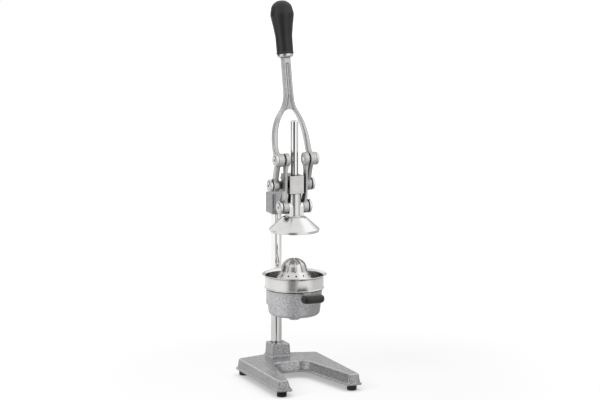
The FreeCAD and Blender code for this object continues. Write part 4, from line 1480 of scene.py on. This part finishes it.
@dataclass
class Lever(Assembly):
    """Forked lever casting with its grip and collar."""

    body: Body = Body.LEVER
    boss_radius: float = 13.5
    boss_inner: float = 28.5
    boss_outer: float = 41.5
    arm_x: float = 35.75
    arm_half: float = 4.75
    arm_slope: float = 0.16196
    arm_bow: float = 7.0
    bow_rise: float = 107.0
    foot_y: float = 21.97
    foot_z: float = 473.6
    stem_rise: float = 87.0
    stem_lean: float = math.radians(12.0)
    stem_half: float = 8.5
    stem_length: float = 100.0
    groove_end: float = 88.0
    tang: Pair = (6.0, 62.0)

    def stem(self, along: float) -> Vector:
        """A point on the stem's centre line, measured up it from its foot.

        Args:
            along: Distance from its foot.

        Returns:
            The point on its centre line.
        """
        return Vector((0.0, self.foot_y + self.stem_rise * self.arm_slope
                       + along * math.sin(self.stem_lean),
                       self.foot_z + self.stem_rise + along * math.cos(self.stem_lean)))

    def on_stem(self, along: float) -> Matrix:
        """A matrix that stands +Z up along the stem at a point of it."""
        lean = self.stem_lean
        return facing(Vector((0.0, math.sin(lean), math.cos(lean))), self.stem(along))

    def behind(self, rise: float) -> float:
        """Y of the lever's centre line.

        Args:
            rise: Height above the arms' feet.

        Returns:
            The Y.
        """
        over = max(rise - self.stem_rise, 0.0)
        bow = self.arm_bow * math.sin(math.pi * min(max(rise / self.bow_rise, 0.0), 1.0))
        return (self.foot_y + min(rise, self.stem_rise) * self.arm_slope + bow
                + over * math.tan(self.stem_lean))

    def station(self, x: float, rise: float, half: float, depth: float) -> Station:
        """Centre, half thickness and half depth of a bar at a rise above the arms' feet."""
        return Vector((x, self.behind(rise), self.foot_z + rise)), half, depth

    def arm_stations(self) -> list[Station]:
        """The stations of the right arm, up into the stem.

        Returns:
            The stations, from the foot up.
        """
        y, z = PIVOT
        rows = [(Vector((self.arm_x, y + back, z + up)), self.arm_half, depth)
                for back, up, depth in ((1.0, -2.0, 7.2), (-5.0, 15.0, 7.0), (-10.6, 31.0, 7.0),
                                        (-15.6, 43.5, 7.0), (-18.4, 52.4, 7.2),
                                        (-13.5, 61.9, 7.4))]
        rows.append((Vector((self.arm_x, self.foot_y - 0.6, self.foot_z)), self.arm_half, 7.3))
        for degrees, half in ((8, 4.7), (16, 4.6), (24, 4.45), (32, 4.2), (40, 3.95), (48, 3.7),
                              (55, 3.45), (61, 3.3)):
            turn = math.radians(degrees)
            rise = 84.5 * math.sin(turn)
            rows.append(self.station(self.arm_x * math.cos(turn), rise, half,
                                     7.25 + 1.25 * min(rise / self.stem_rise, 1.0)))
        rows += [self.station(x, rise, half, self.stem_half)
                 for x, rise, half in ((13.0, 81.0, 3.2), (9.3, 89.0, 3.1), (7.0, 98.0, 3.0),
                                       (5.8, 109.0, 3.0), (5.5, 122.0, 3.0), (5.5, 145.0, 3.0),
                                       (5.5, 172.0, 3.0))]
        return rows

    @staticmethod
    def loft(rows: Sequence[Station], corner: float) -> Mesh:
        """A bar through stations, square to its own run.

        Args:
            rows: Centre, half thickness and half depth at each station.
            corner: Corner radius of its section.

        Returns:
            The mesh.
        """
        bm = bmesh.new()
        rings = []
        for index, (centre, half, depth) in enumerate(rows):
            before = rows[max(index - 1, 0)][0]
            after = rows[min(index + 1, len(rows) - 1)][0]
            run = (after - before).normalized()
            deep = (BACK - run * BACK.dot(run)).normalized()
            wide = run.cross(deep)
            corners = [centre + wide * (half * a) + deep * (depth * b)
                       for a, b in ((1, 1), (-1, 1), (-1, -1), (1, -1))]
            rings.append(ring(bm, corners, [min(corner, half * 0.9)] * 4, 4))
        return skin(bm, rings)

    def web(self) -> Mesh:
        """The web between the arms, which narrows into the stem's groove, with its arch.

        Returns:
            The mesh.
        """
        rows = [self.station(0.0, *row) for row in (
            (69.0, 18.2, 4.6), (75.0, 15.8, 4.6), (81.5, 12.6, 4.8), (90.0, 8.6, 5.2),
            (99.0, 6.0, 5.4), (112.0, 5.0, 6.0), (172.0, 5.0, 6.0))]
        arch = Vector((0.0, self.behind(69.0) - 20.0, self.foot_z + 64.0))
        return drilled(self.loft(rows, 1.0), [(arch, BACK, 17.5, 40.0)], 96)

    def casting(self) -> Mesh:
        """Both arms, the grooved stem, its web and the four bosses melted together.

        Returns:
            The mesh.
        """
        bm = self.loft(self.arm_stations(), 2.6)
        add(bm, flipped(self.loft(self.arm_stations(), 2.6)))
        add(bm, self.web())
        add(bm, self.loft([(self.stem(along), self.stem_half, self.stem_half)
                           for along in (self.groove_end, self.stem_length - 0.1)], 2.6))
        holes = []
        for (y, z), radius in ((PIVOT, LEVER_HOLE), (CRANK, PIN_HOLE)):
            for side in Side:
                boss = collar((0.0, self.boss_radius), (self.boss_inner, self.boss_outer),
                              (1.2, 1.2), 72)
                add(bm, boss, across(side, (y, z)))
                holes.append((Vector((20.0 * side.value, y, z)), RIGHT * side.value, radius,
                              30.0))
        radius, length = self.tang
        tang = collar((0.0, radius), (0.0, length), (0.0, 1.0), 48)
        return add(drilled(cast(bm, 0.85, 5), holes), tang, self.on_stem(self.stem_length - 1.0))

    def build(self) -> None:
        """Make the casting, the collar and the grip."""
        self.fit("lever_casting", "lever_yoke", SATIN, self.casting(), weighted=False)
        seat = self.on_stem(self.stem_length)
        bore, depth = self.tang
        band = turned([(bore, 0.0, 0.0), (14.0, 0.0, 0.4), (16.2, 2.2, 0.8), (16.4, 4.0, 0.4),
                       (16.4, 6.3, 0.5), (bore, 6.3, 0.0)], 96)
        self.fit("bright_collar", "grip_collar", COLLAR_STEEL, band, seat)
        grip = turned([
            (bore, 6.4, 0.0), (15.9, 6.4, 0.6), (17.5, 7.4, 0.5), (17.5, 9.6, 0.6),
            (16.9, 10.6, 0.4), (16.9, 14.5, 1.0), (17.0, 22.0, 20.0), (17.1, 42.0, 60.0),
            (20.2, 64.0, 60.0), (24.3, 87.0, 20.0), (19.8, 108.0, 16.0), (8.4, 115.3, 8.0),
            (0.0, 115.6, 0.0), (0.0, depth, 0.0), (bore, depth, 0.0)], 96, 8)
        self.fit("grip_handle", "grip", GRIP_PLASTIC, grip, seat)


@dataclass
class Strainer(Assembly):
    """Brushed steel bowl with the reamer, the strap and the finger tab."""

    body: Body = Body.STRAINER
    floor: float = 195.0
    rim: float = 223.0
    radius: float = 60.0
    sheet: float = 1.2
    register: float = 52.3
    register_low: float = 184.0
    lip: float = 6.0
    bead: float = 1.0
    groove: float = 1.7
    seat: float = 55.5
    cup_top: float = 192.0
    drain_rings: Pair = (44.5, 49.0)
    drains: int = 36
    drain: float = 1.7
    ribs: int = 10
    holes: int = 12
    tab_y: float = -87.9
    tab_z: float = 187.3
    tab_size: tuple[float, float, float] = (24.5, 13.0, 8.0)
    tab_edge: float = 7.2

    def bowl(self) -> Mesh:
        """The spun bowl with its bead, rolled lip and drained floor.

        Returns:
            The mesh.
        """
        inner = self.radius - self.sheet
        low = self.register - self.sheet
        bead, lip = self.radius + self.bead, self.radius + self.lip
        groove = self.cup_top + self.groove
        bowl = turned([
            (3.0, self.floor, 0.0), (low, self.floor, 1.0), (low, self.register_low, 0.3),
            (self.register, self.register_low, 0.3), (self.register, self.cup_top, 0.4),
            (self.seat, self.cup_top, 0.2), (self.seat, groove, 0.2), (bead, groove, 0.6),
            (bead, 195.4, 0.8), (self.radius, 196.2, 0.6), (self.radius, self.rim - 4.2, 2.2),
            (lip, self.rim - 1.3, 0.6), (lip, self.rim, 0.55), (inner + 4.6, self.rim - 0.5, 1.5),
            (inner, self.rim - 3.4, 2.4), (inner, self.floor + self.sheet, 2.5),
            (3.0, self.floor + self.sheet, 0.0)], 144, 5)
        cuts = []
        for radius in self.drain_rings:
            for step in range(self.drains):
                turn = FULL_TURN * step / self.drains
                cuts.append((Vector((radius * math.cos(turn), radius * math.sin(turn),
                                     self.floor - 2.0)), UP, self.drain, 6.0))
        return drilled(bowl, cuts, 16)

    def rib(self, index: int) -> Mesh:
        """One rib of the reamer, which runs up its side and thins out at both ends.

        Args:
            index: Its place in the round, from 0.

        Returns:
            The mesh.
        """
        bm = bmesh.new()
        turn = Matrix.Rotation(FULL_TURN * index / self.ribs, 3, "Z")
        rows = []
        for reach, height, half in ((26.3, 30.0, 0.5), (27.4, 35.0, 1.3), (25.9, 42.0, 1.3),
                                    (23.2, 48.5, 1.3), (18.0, 53.8, 1.2), (10.0, 57.4, 0.9),
                                    (5.0, 58.2, 0.5)):
            corners = [turn @ Vector((reach + a * 2.0, b * half, height + a))
                       for a, b in ((0.0, 1), (0.0, -1), (-1.6, -1), (-1.6, 1))]
            rows.append(ring(bm, corners, [half * 0.8, half * 0.8, 0.2, 0.2], 3))
        return skin(bm, rows)

    def reamer(self) -> Mesh:
        """The ribbed reamer on its flared skirt, with the ring of small holes.

        Returns:
            The mesh.
        """
        core = turned([
            (3.0, 0.0, 0.0), (40.0, 0.0, 0.5), (40.0, 2.4, 0.8), (38.4, 4.2, 1.5),
            (35.6, 17.6, 4.0), (26.2, 32.6, 8.0), (22.4, 47.0, 14.0), (11.0, 55.8, 8.0),
            (0.0, 57.0, 0.0), (0.0, 16.0, 0.0), (3.0, 16.0, 0.0)], 180, 8)
        cuts = []
        for step in range(self.holes):
            turn = FULL_TURN * (step + 0.5) / self.holes
            outward = Vector((math.cos(turn), math.sin(turn), 0.0))
            cuts.append((outward * 27.0 + UP * 25.5, outward, self.drain, 12.0))
        core = drilled(core, cuts, 20)
        for index in range(self.ribs):
            add(core, self.rib(index))
        return core

    def tab(self) -> Mesh:
        """The plastic finger tab, round at its ends and over its edges.

        Returns:
            The mesh.
        """
        bm = bmesh.new()
        half_x, half_y, half_z = self.tab_size
        rows = []
        for step in range(13):
            turn = min(step, 12 - step) * math.pi / 12.0
            inset = self.tab_edge * (1.0 - math.sin(turn))
            height = half_z - self.tab_edge * (1.0 - math.cos(turn))
            x, y, z = half_x - inset, half_y - inset, math.copysign(height, step - 6.5)
            corners = [Vector((x * a, y * b, z)) for a, b in ((1, 1), (-1, 1), (-1, -1), (1, -1))]
            rows.append(ring(bm, corners, [y - 0.05] * 4, 10))
        return skin(bm, rows)

    def strap(self) -> Mesh:
        """The bent steel strap from the bowl's bead into the tab.

        Returns:
            The mesh.
        """
        root = CUP_AXIS.y - self.radius - self.bead
        return slab([(root + 0.9, 194.0), (root - 3.0, 194.0), (-73.9, 188.3), (-86.9, 188.3),
                     (-86.9, 186.3), (-73.9, 186.3), (root - 3.0, 192.05), (root + 0.9, 192.05)],
                    8.0, 0.35)

    def build(self) -> None:
        """Make the bowl, the reamer, the tab and their fasteners."""
        self.fit("strainer_dish", "strainer_bowl", SHEET, self.bowl(), ON_CUP_AXIS)
        seat = CUP_AXIS + UP * (self.floor + self.sheet)
        self.fit("ribbed_reamer", "reamer_cone", REAMER_METAL, self.reamer(),
                 Matrix.Translation(seat), weighted=False)
        self.fit("finger_tab", "strainer_handle", TAB_PLASTIC, self.tab(),
                 Matrix.Translation((0.0, self.tab_y, self.tab_z)))
        self.fit("tab_strap", "handle_strap", SHADED_STRAP_SHEET, self.strap())
        for name, node, screw, place in (
                ("reamer", "reamer_screw", CapScrew(5.5, 3.0, 3.0, 17.2, 2.4), (9.1, 192.0)),
                ("tab", "handle_screw", CapScrew(3.5, 2.5, 2.0, 6.5, 1.4), (-80.9, 179.2))):
            self.fit(f"{name}_cap_screw", node, steel(f"{name}_screw", "XY", 0.0, place[0], 0.0),
                     screw.driven(-UP, (0.0, *place)))


# The set


@dataclass(frozen=True)
class Flag:
    """A dark flag round the set, as polished metal mirrors it.

    Its turn is in degrees from the camera's side; its half width and soft edge are in degrees,
    and it starts at a distance in metres.
    """

    turn: float
    half: float
    soft: float
    depth: float
    start: float = -1.0


@dataclass
class Studio:
    """Pale floor, soft lamps, dark flags for the chrome to mirror, and the camera."""

    target: tuple[float, float, float] = (0.0, 0.0665, 0.400)
    azimuth: float = -22.13
    elevation: float = 8.76
    distance: float = 5.2686
    lens: float = 154.9
    shift: Pair = (0.0273, -0.0283)
    fill: float = 0.26
    side_light: float = 0.35
    black: float = 0.012
    wall: float = 4.0
    flags: tuple[Flag, ...] = (
        Flag(-7.0, 12.0, 9.0, 0.62), Flag(-7.0, 13.0, 6.0, 0.36, 2.0),
        Flag(112.0, 34.0, 16.0, 0.24), Flag(112.0, 34.0, 16.0, 0.18, 1.0),
        Flag(-106.0, 9.0, 5.0, 0.95, 2.0))
    back_wall: Flag = Flag(180.0, 34.0, 20.0, 0.55)

    def rays(self, graph: Graph) -> tuple[Value, Value]:
        """Tell camera rays from rays off glossy and clear surfaces.

        Args:
            graph: The graph of the floor or the world.

        Returns:
            Both masks, as 0 or 1.
        """
        path = graph.node("ShaderNodeLightPath")
        camera, glossy, clear = (Value(graph, path.outputs[name]) for name in (
            "Is Camera Ray", "Is Glossy Ray", "Is Transmission Ray"))
        return camera, (glossy + clear).above(0.0, 1.0)

    def darkness(self, x: Value, y: Value, away: "Value | float",
                 flags: Sequence[Flag]) -> Value:
        """How dark the studio is in a horizontal direction, as polished metal shows it.

        Args:
            x: X of the direction.
            y: Y of the direction.
            away: Distance from the press in metres; the flags widen with it.
            flags: The flags to count.

        Returns:
            0 for the white walls, 1 for a black flag.
        """
        long = (x * x + y * y).root()
        total = 0.0
        for item in flags:
            heading = math.radians(self.azimuth + item.turn)
            along = (x * math.sin(heading) - y * math.cos(heading)) / long + (away - 1.2) * 0.016
            flag = along.above(math.cos(math.radians(item.half + item.soft)),
                               math.cos(math.radians(item.half))) * item.depth
            if isinstance(away, Value):
                flag = flag * away.above(item.start, item.start + 0.7)
            total = flag + total
        return total

    def floor(self) -> None:
        """Lay the floor, which glows for the camera away from the press, keeps the shadow, and
        has a painted contact shadow in its glow near the press.
        """
        graph = Graph(bpy.data.materials.new("floor_white"))
        camera, shiny = self.rays(graph)
        x, y, _ = graph.axes()
        reach = (x * x + y * y).root()
        far = reach.above(0.35, 1.3)
        diffuse = graph.node("ShaderNodeBsdfDiffuse", inputs={"Color": grey(0.80)})
        # Ambient occlusion dims the glow where the press stands close: a painted contact shadow.
        clear = graph.value("ShaderNodeAmbientOcclusion", "AO", {"samples": 12},
                            {"Distance": 0.07}).above(0.15, 0.85)
        glow, white, black = (graph.node("ShaderNodeEmission", inputs={
            "Color": level, "Strength": 1.0}) for level in (
                graph.blend(clear, grey(0.50), grey(1.15)), grey(1.0), grey(self.black)))
        shown = graph.mixed(camera * (0.75 + far * 0.25), diffuse, glow)
        # Reflections of the floor are darker close to the press: painted shade under it.
        painted_floor_shade = (1.0 - reach.above(0.5, 1.2)) * 0.36
        mirror = graph.mixed(self.darkness(x, y, reach, self.flags) + painted_floor_shade, white, black)
        graph.node("ShaderNodeOutputMaterial", inputs={
            "Surface": graph.mixed(shiny, shown, mirror).outputs[0]})
        bm = bmesh.new()
        bmesh.ops.create_grid(bm, x_segments=1, y_segments=1, size=9.0)
        item = held(bm, "floor")
        item.data.materials.append(graph.owner)

    def world(self) -> None:
        """White to the camera, flagged in reflections, plain soft light elsewhere."""
        world = bpy.data.worlds.new("studio")
        bpy.context.scene.world = world
        graph = Graph(world)
        camera, shiny = self.rays(graph)
        x, y, z = graph.axes("Generated")
        turn = math.radians(self.azimuth)
        right = (x * math.cos(turn) + y * math.sin(turn)).above(0.36, 0.50)
        bright = 0.94 + right * z.above(0.02, 0.12) * self.side_light
        fill, pale, black, white = (graph.node("ShaderNodeBackground", inputs={
            "Color": grey(1.0), "Strength": strength})
            for strength in (self.fill, bright, self.black, 1.0))
        sides = self.darkness(x, y, self.wall, self.flags) * (1.0 - z.above(0.30, 0.60))
        back = self.darkness(x, y, self.wall, (self.back_wall,)) * (1.0 - z.above(0.17, 0.25))
        soft = graph.mixed(shiny, fill, graph.mixed(sides + back, pale, black))
        graph.node("ShaderNodeOutputWorld", inputs={
            "Surface": graph.mixed(camera, soft, white).outputs[0]})

    def lamps(self) -> None:
        """Hang the soft lamps, which only matt surfaces show."""
        for name, place, size, energy in (
                ("key", (-2.2, -0.6, 1.35), 1.2, 35.0), ("top", (0.1, 0.2, 2.4), 1.5, 5.0)):
            lamp = bpy.data.lights.new(name, "AREA")
            lamp.shape = "SQUARE"
            lamp.size = size
            lamp.energy = energy
            item = bpy.data.objects.new(name, lamp)
            item.visible_glossy = False
            aim = Vector((0.0, 0.0, 0.3)) - Vector(place)
            item.matrix_world = facing(aim, place, "-Z")
            bpy.context.scene.collection.objects.link(item)

    def camera(self) -> None:
        """Set the camera at the viewing angle of the picture."""
        lens = bpy.data.cameras.new("camera")
        lens.lens = self.lens
        lens.sensor_width = 36.0
        lens.shift_x, lens.shift_y = self.shift
        lens.clip_end = 50.0
        turn = math.radians(self.azimuth)
        rise = math.radians(self.elevation)
        away = Vector((math.sin(turn) * math.cos(rise), -math.cos(turn) * math.cos(rise),
                       math.sin(rise)))
        item = bpy.data.objects.new("camera", lens)
        item.matrix_world = facing(-away, Vector(self.target) + away * self.distance, "-Z")
        bpy.context.scene.collection.objects.link(item)
        bpy.context.scene.camera = item

    def build(self) -> None:
        """Set everything up."""
        self.floor()
        self.world()
        self.lamps()
        self.camera()
        bpy.context.scene.view_settings.view_transform = "Standard"


def corners(bounds: Sequence[Vector]) -> list[list[float]]:
    """A box's two corners as plain lists."""
    return [[float(number) for number in corner] for corner in bounds]


def main() -> None:
    """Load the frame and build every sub-assembly over it."""
    logging.basicConfig(level=logging.INFO, format="%(name)s: %(message)s")
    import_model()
    for assembly in (Base(), Column(), Cup(), Bracket(), Pivots(), Links(), PressHead(), Lever(),
                     Strainer(), Studio()):
        assembly.build()
        log.info("built %s", type(assembly).__name__)


if __name__ == "__main__":
    main()
